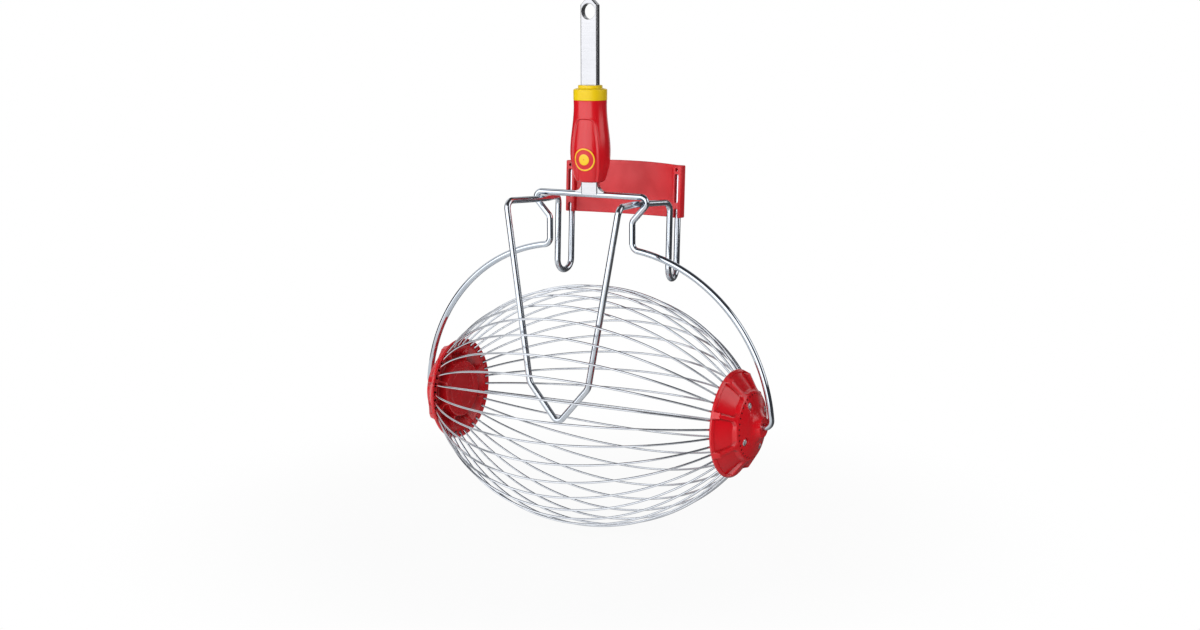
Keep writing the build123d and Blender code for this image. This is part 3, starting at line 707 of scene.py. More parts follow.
@dataclass
class Basket:
    """Spring wires, one arc each, between the two hubs."""

    axis_height: float
    radius: float = 114.5
    length: float = 300.0
    exit_radius: float = 46.0
    wire_radius: float = 1.0
    count: int = 36
    phase: float = 4.5
    tail: float = 9.0
    arc_steps: int = 56
    sides: int = 14

    @property
    def rim(self) -> float:
        """Middle plane to the rim face of a hub."""
        return self.length / 2

    @property
    def arc_radius(self) -> float:
        """Radius of a wire's arc through both rims and the widest point."""
        rise = self.radius - self.exit_radius
        return (self.rim**2 + rise**2) / (2 * rise)

    @property
    def exit_slope(self) -> float:
        """Fall of a wire towards the axis for each length along it, at the rim."""
        return self.rim / np.sqrt(self.arc_radius**2 - self.rim**2)

    def cone(self, depth: float, offset: float) -> float:
        """Radius, behind the rim face, of the cone that lies offset outside the wire ends."""
        return self.exit_radius - self.exit_slope * depth + offset * np.hypot(1.0, self.exit_slope)

    def turns(self) -> Array:
        """Turn of each wire from straight up towards the rear, in radians."""
        return np.radians(self.phase + 360.0 * np.arange(self.count) / self.count)

    def meridian(self) -> Array:
        """One wire's line as (along the axis, distance from it): tail, arc and tail."""
        sweep = np.arcsin(self.rim / self.arc_radius)
        angle = np.linspace(-sweep, sweep, self.arc_steps)
        arc = stacked(
            self.arc_radius * np.sin(angle), self.radius - self.arc_radius * (1 - np.cos(angle))
        )
        end = np.array([[self.rim + self.tail, self.cone(self.tail, 0.0)]])
        return np.concatenate([end * (-1, 1), arc, end])

    def build(self, shop: Workshop) -> None:
        """Make every wire."""
        line = self.meridian()
        for number, turn in enumerate(self.turns(), start=1):
            out = np.array([0.0, np.sin(turn), np.cos(turn)])
            path = line[:, :1] * (1, 0, 0) + line[:, 1:] * out + (0, 0, self.axis_height)
            bar = Bar(path, self.wire_radius, (0.0, np.cos(turn), -np.sin(turn)), self.sides)
            wire = shop.make(bar.lattice(), f"spring_wire_{number:02d}", "spring_wire")
            shop.seat(wire, Body.BASKET, "spring_wire", f"basket_wire_{number:02d}")


@dataclass
class Hub:
    """Moulded cover with pockets between straight ribs, the grooved clamp core inside it, and its screws.

    Corners of the cover are pairs of a depth behind the rim face and a radius.
    """

    # Rows of the cover's slope, closest where it bends: first radius, last radius and count
    ROWS = ((50.0, 47.0, 19), (46.6, 36.4, 18), (36.0, 30.4, 23), (30.0, 22.0, 6))
    # Columns beside a rib, by their distance from its middle line, and steps from rib to rib
    BESIDE = (0.0, 0.9, 1.4, 1.7, 1.95, 2.2, 2.5, 2.8, 3.2, 3.8, 5.0)
    BETWEEN = 12
    # Radii that a slope is averaged over to round its corners
    WINDOW = 9
    FOOT_ROUNDING = (0.4, 0.4)
    CROWN_ROUNDING = (1.2, 6.0, 1.2, 0.9, 0.4, 0.3)
    CORE_ROUNDING = (0.2, 0.2, 0.2, 0.7, 0.8, 0.8, 0.6, 0.3, 0.3, 0.3, 0.3, 0.3, 0.3)
    # Bells of the marks across a rib's side, middle and width: painted highlight with scuffing on its edge,
    # painted shade on its wall
    RIB_EDGE, RIB_WALL = (-0.35, 0.45), (0.45, 0.7)
    BROW_WIDTH, RIM_WEAR = 0.6, 0.8
    WALL_SHADE, WELL_SHADE = 0.5, 0.55
    # Columns of the core beside a wire, in degrees
    NOTCH = (-5.0, -3.6, -2.9, -2.6, -2.35, -2.1, -1.7, 0.0, 1.7, 2.1, 2.35, 2.6, 2.9, 3.6)
    NOTCH_EASE, CORE_RIB_EASE = 0.25, 0.6
    # Rows of a screw from its recess to its tip: height over the seat, radius and share of the lobes
    SCREW = (
        (1.0, 1.3, 1.0), (1.9, 1.4, 1.0), (2.1, 1.5, 0.8), (2.2, 1.9, 0.0), (2.05, 2.6, 0.0),
        (1.7, 3.15, 0.0), (1.1, 3.45, 0.0), (0.0, 3.5, 0.0), (0.0, 1.75, 0.0), (-14.0, 1.75, 0.0),
    )
    LOBES, LOBE_SHARE = 6, 0.2
    WELL_SIDES, VENT_SIDES, SCREW_SIDES = 40, 12, 48
    COVER_SHARP, CORE_SHARP, SCREW_SHARP = 42.0, 50.0, 45.0

    basket: Basket
    side: Side
    rim_radius: float = 50.0
    rim_edge: float = 1.0
    rim_band: float = 2.2
    lip: Pair = (2.4, 0.8)
    wall: float = 2.6
    wire_fit: float = 0.15
    seat_depth: float = 14.5
    shoulder: Pair = (8.5, 48.0)
    pocket_radius: float = 33.5
    pocket_brow: Pair = (19.35, 32.4)
    plateau: Pair = (20.0, 31.5)
    dome: Pair = (24.0, 20.0)
    boss_foot: Pair = (26.0, 12.0)
    boss: Pair = (31.5, 9.5)
    bore_radius: float = 3.08
    ribs: int = 8
    rib_phase: float = 20.7
    rib_half: float = 2.1
    rib_flare: Pair = (2.6, 1.2)
    rib_ease: float = 0.55
    softness: float = 0.40
    vent_circle: float = 29.6
    vent_radius: float = 0.85
    vent_depth: float = 1.8
    screw_count: int = 4
    screw_phase: float = 62.0
    screw_circle: float = 23.0
    screw_seat: float = 20.5
    well_radius: float = 3.75
    core_fit: float = 0.12
    core_set: float = 0.4
    core_land: float = 5.0
    core_middle: float = 2.0
    core_face: float = 27.5
    core_stand: float = 1.5
    core_ring: Pair = (19.5, 0.6)
    core_well: float = 8.0
    core_back: float = 29.0
    core_well_radius: float = 33.0
    core_flange: float = 12.0
    core_hollow: float = 11.0
    core_rib_half: float = 1.3
    face_wall: float = 4.0
    notch_half: float = 1.9

    @property
    def channel(self) -> float:
        """Middle of a wire's end to the wall of its groove."""
        return self.basket.wire_radius + self.wire_fit

    @property
    def rib_pitch(self) -> float:
        """Turn from one rib to the next, in radians."""
        return 2 * np.pi / self.ribs

    def place(self, depth: Array | float, radius: Array | float, turn: Array | float) -> Array:
        """Points at a depth behind the rim face and a radius, turned from the front upwards."""
        across = self.side.value * (self.basket.rim + depth)
        return stacked(across, -radius * np.cos(turn), self.basket.axis_height + radius * np.sin(turn))

    def off_rib(self, turn: Array, radius: Array | float) -> Array:
        """Distance from the nearest rib's middle line: radius * |sin| of the turn to it."""
        half = self.rib_pitch / 2
        return radius * np.abs(np.sin((turn - np.radians(self.rib_phase) + half) % self.rib_pitch - half))

    def slopes(self, radius: Array) -> tuple[Array, Array]:
        """Depth of a rib's ridge and of a pocket's floor at each radius.

        Both are straight runs between corners, averaged over a window of radii that rounds the corners.

        Args:
            radius: distances from the roll axis.

        Returns:
            Depths of the ridge and of the floor.
        """
        fall = self.basket.exit_slope
        band = (self.basket.cone(0.0, self.channel + self.wall) - self.rim_radius) / fall
        lip_radius = self.rim_radius - self.lip[0]
        step = band + self.lip[0] / fall
        floor = band + (self.rim_radius - self.pocket_radius) / fall
        start = (band + self.lip[1], self.rim_radius)
        ridge = np.array([start, self.shoulder, self.plateau, self.dome])
        pocket = np.array([
            start,
            (step + self.lip[1], lip_radius),
            (step, lip_radius - self.softness / 2),
            (floor, self.pocket_radius),
            self.pocket_brow,
            self.plateau,
            self.dome,
        ])
        near = radius[:, None] + self.softness * np.linspace(-1.0, 1.0, self.WINDOW)
        high, low = (np.interp(near, line[::-1, 1], line[::-1, 0]).mean(axis=1) for line in (ridge, pocket))
        return high, low

    def columns(self, radius: Array) -> Array:
        """Turn of every column at each radius.

        Beside a rib the columns run straight, at fixed distances d from its middle line: the turn is the
        rib's own plus asin(d / radius). Between two ribs they share out the angle evenly.
        """
        beside = np.concatenate([-np.array(self.BESIDE)[:0:-1], self.BESIDE])
        spread = np.arcsin(beside / np.maximum(radius, self.dome[1])[:, None])
        share = np.linspace(0.0, 1.0, self.BETWEEN)[1:-1]
        between = spread[:, -1:] * (1 - share) + (self.rib_pitch + spread[:, :1]) * share
        one = np.concatenate([spread, between], axis=1)
        middle = np.radians(self.rib_phase) + self.rib_pitch * np.arange(self.ribs)
        return (middle[None, :, None] + one[:, None]).reshape(len(radius), -1)

    def cover_lattice(self) -> Lattice:
        """Outer shell: a rib's profile and a pocket's profile, mixed by the distance from the ribs.

        The mix is a smooth step over the rib's side wall. Towards both ends of a pocket the rib grows
        wider by r - sqrt(r^2 - x^2), which rounds the pocket's corners.
        """
        top = self.basket.cone(0.0, self.channel)
        rim, edge = self.rim_radius, self.rim_edge
        corners = [(0.0, top), (0.0, rim - edge), (edge, rim), (self.rim_band, rim)]
        foot = rounded_profile(corners, self.FOOT_ROUNDING, bend=4, run=3)
        radius = np.concatenate([np.linspace(*rows) for rows in self.ROWS])
        high, low = self.slopes(radius)
        crown = rounded_profile(
            [
                (high[-1], radius[-1]),
                self.dome,
                self.boss_foot,
                self.boss,
                (self.boss[0], self.bore_radius),
                (self.seat_depth, self.bore_radius),
                (self.seat_depth, self.basket.cone(self.seat_depth, self.channel)),
                (0.0, top),
            ],
            self.CROWN_ROUNDING, bend=5, run=6,
        )[1:-1]
        ridge, pocket = (np.concatenate([foot[:, 0], slope, crown[:, 0]])[:, None] for slope in (high, low))
        around = np.concatenate([foot[:, 1], radius, crown[:, 1]])
        turn = self.columns(around)
        flare_in, flare_out = self.rib_flare
        inner = np.clip(1 - (around - self.pocket_radius) / flare_in, 0.0, 1.0)
        outer = np.clip(1 - (rim - self.lip[0] - around) / flare_out, 0.0, 1.0)
        grown = flare_in * (1 - np.sqrt(1 - inner**2)) + flare_out * (1 - np.sqrt(1 - outer**2))
        beyond = self.off_rib(turn, around[:, None]) - (self.rib_half + grown)[:, None]
        depth = ridge + (pocket - ridge) * ease(beyond, -self.rib_ease, self.rib_ease)
        outside = (np.arange(len(around)) < len(foot) + len(radius))[:, None]
        on_slope = outside * ease(around, self.plateau[1], self.pocket_radius)[:, None]
        # The brow_highlight along the plateau's edge and the bells along the ribs' edges are painted
        # highlight lines, with scuffing.
        brow_highlight = outside * bell(around, self.pocket_brow[1], self.BROW_WIDTH)[:, None]
        worn_rim = outside * ease(around, rim - self.RIM_WEAR, rim)[:, None]
        edge_mark = np.clip(on_slope * bell(beyond, *self.RIB_EDGE) + brow_highlight + worn_rim, 0.0, 1.0)
        # Painted shade on the ribs' side walls.
        shaded = self.WALL_SHADE * on_slope * bell(beyond, *self.RIB_WALL)
        points = self.place(depth, around[:, None], turn)
        return Lattice(points, close_rows=True, marks={"edge": edge_mark, "painted_shade": shaded})

    def screw_turns(self) -> Array:
        """Turn of each screw from the front upwards, in radians."""
        return np.radians(self.screw_phase + 360.0 * np.arange(self.screw_count) / self.screw_count)

    def carve_holes(self, cover: Piece, shop: Workshop) -> None:
        """Sink the screw wells and the ring of small blind holes into the cover."""
        out = (float(self.side.value), 0.0, 0.0)
        fall = (self.dome[0] - self.plateau[0]) / (self.plateau[1] - self.dome[1])
        surface = self.plateau[0] + fall * (self.plateau[1] - self.vent_circle)
        wells = self.place(self.screw_seat, self.screw_circle, self.screw_turns())
        vents = self.place(surface - self.vent_depth, self.vent_circle, self.basket.turns() + np.pi / 2)
        length = self.boss[0] - self.screw_seat
        # The vents' walls take hole_shade, a near-black red: painted shade in the small holes.
        for name, feet, radius, sides, finish in (
            ("wells", wells, self.well_radius, self.WELL_SIDES, "hub_red"),
            ("vents", vents, self.vent_radius, self.VENT_SIDES, "hole_shade"),
        ):
            carve(cover, shop.make(cylinders(feet, out, radius, length, sides), name, finish))

    def core_outline(self, floor: float, lower: float) -> Array:
        """Turned outline of the clamp core, from the middle of its face to the middle of its back.

        Args:
            floor: depth of the well round the face.
            lower: how far the rim lies under the wires' cone.

        Returns:
            Points as (depth, radius).
        """
        grip = self.channel - self.core_fit
        rim = self.basket.cone(self.core_set, grip)
        face, back = -self.core_stand, self.seat_depth - self.core_fit
        ring, groove = self.core_ring
        return rounded_profile(
            [
                (face, self.core_middle),
                (face, ring - groove),
                (face + groove, ring),
                (face, ring + groove),
                (face, self.core_face),
                (floor, self.core_back),
                (floor, self.core_well_radius),
                (self.core_set, rim - self.core_land),
                (self.core_set, rim - lower),
                (self.core_flange, self.basket.cone(self.core_flange, grip) - lower),
                (self.core_flange, self.core_back),
                (back, self.core_back),
                (back, self.core_hollow),
                (self.face_wall + face, self.core_hollow),
                (self.face_wall + face, self.core_middle),
            ],
            self.CORE_ROUNDING, bend=4, run=5,
        )

    def core_lattice(self) -> Lattice:
        """Clamp core: a turned dish with one notch for each wire and ribs across its well.

        A notch mixes the rim's outline with one that lies a wire lower; a rib mixes the well's floor
        with one near the rim. Both mixes are smooth steps of the distance from their middle.
        """
        drop = (2 * self.channel - self.core_fit) * np.hypot(1.0, self.basket.exit_slope)
        plain = self.core_outline(self.core_well, 0.0)
        notched = self.core_outline(self.core_well, drop)
        ribbed = self.core_outline(self.core_stand, 0.0)
        wires = self.basket.turns() + np.pi / 2
        turn = np.sort((wires[:, None] + np.radians(self.NOTCH)).ravel() % (2 * np.pi))
        pitch = 2 * np.pi / self.basket.count
        off_wire = np.abs((turn - wires[0] + pitch / 2) % pitch - pitch / 2) * self.basket.exit_radius
        notch = 1 - ease(off_wire, self.notch_half - self.NOTCH_EASE, self.notch_half + self.NOTCH_EASE)
        rib_half, rib_ease = self.core_rib_half, self.CORE_RIB_EASE
        rib = 1 - ease(self.off_rib(turn, self.core_well_radius), rib_half - rib_ease, rib_half + rib_ease)
        shape = plain[:, None] + (notched - plain)[:, None] * notch[None, :, None]
        shape = shape + (ribbed - plain)[:, None] * rib[None, :, None]
        cut = np.linalg.norm(notched - plain, axis=1)[:, None] / drop * notch
        facing = np.arange(len(plain)) < np.argmax(plain[:, 1])
        well = (facing * ease(plain[:, 0], self.core_stand, self.core_well))[:, None] * (1 - rib)
        # Painted shade in the notches and round the well.
        painted_shade = np.clip(cut + self.WELL_SHADE * well, 0.0, 1.0)
        ends = (-self.core_stand, self.face_wall - self.core_stand)
        poles = tuple(self.place(depth, 0.0, 0.0) for depth in ends)
        return Lattice(self.place(shape[..., 0], shape[..., 1], turn), poles=poles, marks={"painted_shade": painted_shade})

    def screw_lattice(self) -> Lattice:
        """Pan-head screws with a lobed recess: the recess's radius is r (1 + share * cos(lobes * a))."""
        turn = full_turn(self.SCREW_SIDES)
        height, radius, waved = np.array(self.SCREW).T[..., None]
        reach = radius * (1 + waved * self.LOBE_SHARE * np.cos(self.LOBES * turn))
        out = self.side.value * height
        ring = stacked(out, reach * np.cos(turn), reach * np.sin(turn))
        middle = self.place(self.screw_seat, self.screw_circle, self.screw_turns())
        poles = tuple(middle + (float(out[end, 0]), 0.0, 0.0) for end in (0, -1))
        return Lattice(middle[:, None, None] + ring, poles=poles)

    def build(self, shop: Workshop) -> None:
        """Make the cover, the core and the screws of this side, and keep the clip."""
        word = self.side.word
        cover = shop.make(self.cover_lattice(), f"moulded_cover_{word}", "hub_red")
        self.carve_holes(cover, shop)
        shop.seat(cover, Body.BASKET, "hub_red", f"hub_cover_{word}", self.COVER_SHARP)
        core = shop.make(self.core_lattice(), f"clamp_core_{word}", "core_red")
        shop.seat(core, Body.BASKET, "core_red", f"hub_core_{word}", self.CORE_SHARP)
        screws = shop.make(self.screw_lattice(), f"pan_screws_{word}", "screw_steel")
        shop.seat(screws, Body.BASKET, "screw_steel", f"hub_screws_{word}", self.SCREW_SHARP)
        shop.keep(f"axle_clip_{word}", "clip_steel")


@dataclass
class Bow:
    """Bent bar that carries the basket: crossbar, head corners, necks, side arcs and axle ends."""

    PAST_CLIP = 2.0
    SIDES = 36

    axis_height: float
    axle_tip: float
    bar_radius: float = 3.0
    crossbar: float = 202.8
    head_half: float = 59.4
    head_bend: float = 5.5
    flare: float = 47.0
    neck_half: float = 44.8
    neck_bend: float = 7.0
    arc_radius: float = 162.0
    arc_centre: Pair = (27.0, -8.0)
    axle_bend: float = 6.5
    steps: int = 20

    @property
    def head_corner(self) -> float:
        """Middle plane to the sharp corner that the head's bend rounds off."""
        return self.head_half - self.head_bend + self.head_bend / np.tan(np.radians(self.flare) / 2)

    @staticmethod
    def swing(centre: Array, radius: float, start: Array, end: Array, steps: int) -> Array:
        """Arc in the bow's plane about a centre, from one direction to another by the shorter way."""
        first = np.arctan2(start[1], start[0])
        turn = np.arctan2(end[1], end[0]) - first
        turn = (turn + np.pi) % (2 * np.pi) - np.pi
        angle = first + turn * np.linspace(0.0, 1.0, steps)
        return centre + radius * stacked(np.cos(angle), np.sin(angle))

    def half(self) -> Array:
        """Right half of the bow as (across, above the roll axis), from the middle to the axle's tip.

        The two bends that meet the big arc touch it: one lies outside it, on the neck's line, and one
        inside it, on the axle's line.
        """
        drop = (self.head_corner - self.neck_half) * np.tan(np.radians(self.flare))
        centre = np.array(self.arc_centre)
        neck_x = self.neck_half + self.neck_bend
        outer = self.arc_radius + self.neck_bend
        neck_middle = np.array([neck_x, centre[1] + np.sqrt(outer**2 - (neck_x - centre[0]) ** 2)])
        inner = self.arc_radius - self.axle_bend
        axle_x = centre[0] + np.sqrt(inner**2 - (self.axle_bend - centre[1]) ** 2)
        axle_middle = np.array([axle_x, self.axle_bend])
        head = bent_path(
            [
                (0.0, self.crossbar, 0.0),
                (self.head_corner, self.crossbar, 0.0),
                (self.neck_half, self.crossbar - drop, 0.0),
                (self.neck_half, neck_middle[1], 0.0),
            ],
            (self.head_bend, self.neck_bend),
            self.steps,
        )[:-1, :2]
        outward, inward = neck_middle - centre, axle_middle - centre
        neck = self.swing(neck_middle, self.neck_bend, np.array([-1.0, 0.0]), -outward, self.steps)
        side = self.swing(centre, self.arc_radius, outward, inward, 4 * self.steps)
        axle = self.swing(axle_middle, self.axle_bend, inward, np.array([0.0, -1.0]), self.steps)
        return np.concatenate([head, neck, side[1:-1], axle, [(self.axle_tip, 0.0)]])

    def path(self) -> Array:
        """Whole line of the bow, from the left axle's tip to the right one's."""
        half = self.half()
        whole = np.concatenate([half[:0:-1] * (-1, 1), half[1:]])
        return stacked(whole[:, 0], 0.0, self.axis_height + whole[:, 1])

    def build(self, shop: Workshop) -> None:
        """Make the bow."""
        bar = Bar(self.path(), self.bar_radius, (0.0, 1.0, 0.0), self.SIDES)
        bow = shop.make(bar.lattice(), "bow_bar", "bow_plate")
        shop.seat(bow, Body.HANDLE, "bright_wire", "bow")


@dataclass
class Bracket:
    """Bent bar that spreads the wires to empty the basket, with its backing plate."""

    SIDES = 36
    # Direction that no run of the bar follows
    ASIDE = (0.60, 0.50, 0.62)
    BEND_STEPS, EDGE_STEPS, CAP_STEPS = 18, 6, 13
    PLATE_COLUMNS, PLATE_RISE = 61, 13
    SLEEVE_SIDES, SLEEVE_POWER = 64, 6
    # Eased ends of a sleeve: distance from the end and inset
    SLEEVE_EASE = ((0.0, 0.3, 0.9), (0.9, 0.3, 0.0))
    PLATE_SHARP = 40.0

    bow: Bow
    bar_radius: float = 3.0
    pitch: float = 2.5
    seat_fit: float = 0.65
    front_half: float = 60.0
    front_reach: float = 52.5
    rear_half: float = 61.4
    rear_reach: float = 43.6
    hook_half: float = 58.8
    hook_spread: float = 21.7
    hook_drop: float = 73.5
    hook_slack: float = 0.03
    corner_bend: float = 8.0
    waist_bend: float = 70.0
    spreader_half: float = 31.5
    spreader_drop: float = 168.0
    tip_drop: float = 204.0
    spreader_bend: float = 12.0
    tip_bend: float = 6.0
    end_fit: float = 0.08
    plate_drop: float = 16.0
    plate_height: float = 52.0
    plate_crown: float = 2.0
    plate_thick: float = 3.0
    plate_edge: float = 0.9
    plate_bulge: float = 7.0
    sleeve: Pair = (10.2, 10.0)
    sleeve_roof: float = 6.0
    window: Pair = (4.2, 28.0)
    window_lift: float = 14.0
    notch: float = 9.0
    eye: Pair = (2.8, 3.6)
    eye_drop: float = 4.4

    @property
    def seat_gap(self) -> float:
        """Middle of the bow's bar to the middle of the bracket's bar at a seat."""
        return self.bow.bar_radius + self.bar_radius + self.seat_fit

    @property
    def hook_rear(self) -> float:
        """Bow's plane back to the rear legs of the hooks."""
        return self.rear_reach + self.hook_spread

    @property
    def plate_top(self) -> float:
        """Seats up to the top of the plate's middle."""
        return self.plate_height - self.plate_drop

    @property
    def sleeve_feet(self) -> Array:
        """Middle lines of both sleeves, at the height of the seats."""
        return np.array([(end * self.hook_half, self.hook_rear, 0.0) for end in (-1.0, 1.0)])

    def parked(self, points: Array) -> Array:
        """Points of the bracket's own frame where it is parked: tipped about its seats."""
        tip = np.radians(self.pitch)
        across, back, up = points[..., 0], points[..., 1], points[..., 2]
        level = self.bow.axis_height + self.bow.crossbar - self.seat_gap
        return stacked(
            across, back * np.cos(tip) + up * np.sin(tip), level - back * np.sin(tip) + up * np.cos(tip)
        )

    def path(self) -> Array:
        """Line of the bar from the left sleeve round the spreader to the right sleeve."""
        seat = self.bow.head_corner - self.seat_gap / np.tan(np.radians(self.bow.flare) / 2)
        front = np.arctan2(self.front_half - seat, self.front_reach)
        turn = front + np.arctan2(self.rear_half - seat, self.rear_reach)
        waist = seat - self.waist_bend * (1 / np.cos(turn / 2) - 1)
        end = self.plate_top - self.sleeve_roof - self.end_fit
        right = np.array([
            (self.spreader_half, -self.front_reach, -self.spreader_drop),
            (self.front_half, -self.front_reach, 0.0),
            (waist, 0.0, 0.0),
            (self.rear_half, self.rear_reach, 0.0),
            (self.rear_half, self.rear_reach, -self.hook_drop),
            (self.hook_half, self.hook_rear, -self.hook_drop),
            (self.hook_half, self.hook_rear, end),
        ])
        tip = np.array([[0.0, -self.front_reach, -self.tip_drop]])
        hook_bend = self.hook_spread / 2 - self.hook_slack
        corner_bend = self.corner_bend
        bends = (self.spreader_bend, corner_bend, self.waist_bend, corner_bend, hook_bend, hook_bend)
        corners = np.concatenate([right[::-1] * (-1, 1, 1), tip, right])
        return self.parked(bent_path(corners, (*reversed(bends), self.tip_bend, *bends), self.BEND_STEPS))

    def plate_lattice(self) -> Lattice:
        """Bowed plate: a strip section with quarter-round edges carried across an arc, its top crowned.

        The arc is bulge * (1 - x^2) and the top falls by crown * x^2, with x from -1 to 1 across. The
        section goes over the top edge and down the front; its other half is the same, turned about.
        """
        share = np.linspace(-self.hook_half, self.hook_half, self.PLATE_COLUMNS)[:, None] / self.hook_half
        top = self.plate_top - self.plate_crown * share**2
        middle, half = (top - self.plate_drop) / 2, (top + self.plate_drop) / 2
        curl, thick = quarter_turn(self.EDGE_STEPS), self.plate_thick / 2
        rise = np.linspace(-1.0, 1.0, self.PLATE_RISE)[1:-1]
        flat = np.zeros(len(rise))
        corner_back = thick - self.plate_edge + self.plate_edge * np.cos(curl)
        corner_up = self.plate_edge * np.sin(curl) - self.plate_edge
        over = (
            np.concatenate([corner_back, -corner_back[::-1], flat - thick]),
            np.concatenate([corner_up, corner_up[::-1], flat]),
            np.concatenate([np.ones(2 * len(curl)), -rise]),
        )
        back, up, side = (np.concatenate([part, -part]) for part in over)
        depth = self.hook_rear + self.plate_bulge * (1 - share**2) + back
        points = stacked(self.hook_half * share, depth, middle + half * side + up)
        edge_mark = np.broadcast_to(np.abs(side) == 1.0, points.shape[:2]).astype(float)
        ends = self.sleeve_feet + (0.0, 0.0, float(middle[0, 0]))
        return Lattice(self.parked(points), poles=tuple(self.parked(ends)), marks={"edge": edge_mark})

    def sleeve_lattice(self) -> Lattice:
        """Two upright sleeves: a rounded box section outside and the bar's bore inside.

        The outside is the curve |x / a|^6 + |y / b|^6 = 1; both ends have eased edges.
        """
        turn = full_turn(self.SLEEVE_SIDES)
        outer = superellipse(self.sleeve[0] / 2, self.sleeve[1] / 2, turn, self.SLEEVE_POWER)
        low, high = -self.plate_drop, self.plate_top - self.plate_crown
        roof = self.plate_top - self.sleeve_roof
        bore = np.full((2, len(turn)), self.bar_radius + self.end_fit)
        rise, ease_in = np.array(self.SLEEVE_EASE)
        inset = np.concatenate([ease_in, ease_in[::-1]])[:, None]
        radius = np.concatenate([bore, outer - inset])
        height = np.concatenate([[roof, low], low + rise, high - rise[::-1]])
        feet = self.sleeve_feet
        ring = stacked(radius * np.cos(turn), radius * np.sin(turn), height[:, None])
        points = feet[:, None, None] + ring
        edge_mark = np.concatenate([np.zeros((2, 1)), inset > 0.0])
        poles = tuple(self.parked(feet + (0.0, 0.0, level)) for level in (roof, high))
        marks = {"edge": np.broadcast_to(edge_mark, points.shape[:3])}
        return Lattice(self.parked(points), poles=poles, marks=marks)

    def slot_lattice(self, low: float, high: float, width: float) -> Lattice:
        """Slots with round ends through the front walls of both sleeves, used to carve them."""
        half = width / 2
        cap = np.linspace(0.0, np.pi, self.CAP_STEPS)
        arc = half * stacked(np.cos(cap), np.sin(cap))
        outline = np.concatenate([arc, -arc])
        height = outline[:, 1] + np.repeat([high - half, low + half], len(cap))
        depth = np.array([0.0, -self.sleeve[1]])
        feet = self.sleeve_feet
        ring = stacked(outline[:, 0], depth[:, None], height)
        poles = tuple(self.parked(feet + (0.0, back, (low + high) / 2)) for back in depth)
        return Lattice(self.parked(feet[:, None, None] + ring), poles=poles)

    def build(self, shop: Workshop) -> None:
        """Make the bar and the plate with its sleeves."""
        bar = Bar(self.path(), self.bar_radius, self.ASIDE, self.SIDES)
        bracket = shop.make(bar.lattice(), "bracket_bar", "bracket_plate")
        shop.seat(bracket, Body.BRACKET, "bright_wire", "bracket_wire")
        plate = shop.make(self.plate_lattice(), "plate_with_sleeves", "plate_red")
        sleeves = shop.make(self.sleeve_lattice(), "sleeves", "plate_red")
        low = -self.plate_drop
        window_low = low + self.window_lift
        eye_top = self.plate_top - self.eye_drop
        for name, start, end, width in (
            ("windows", window_low, window_low + self.window[1], self.window[0]),
            ("notches", low - self.notch, low + self.notch, self.window[0]),
            ("eyes", eye_top - self.eye[1], eye_top, self.eye[0]),
        ):
            carve(sleeves, shop.make(self.slot_lattice(start, end, width), name, "plate_red"))
        carve(plate, sleeves, "UNION")
        shop.seat(plate, Body.BRACKET, "plate_red", "backing_plate", self.PLATE_SHARP)


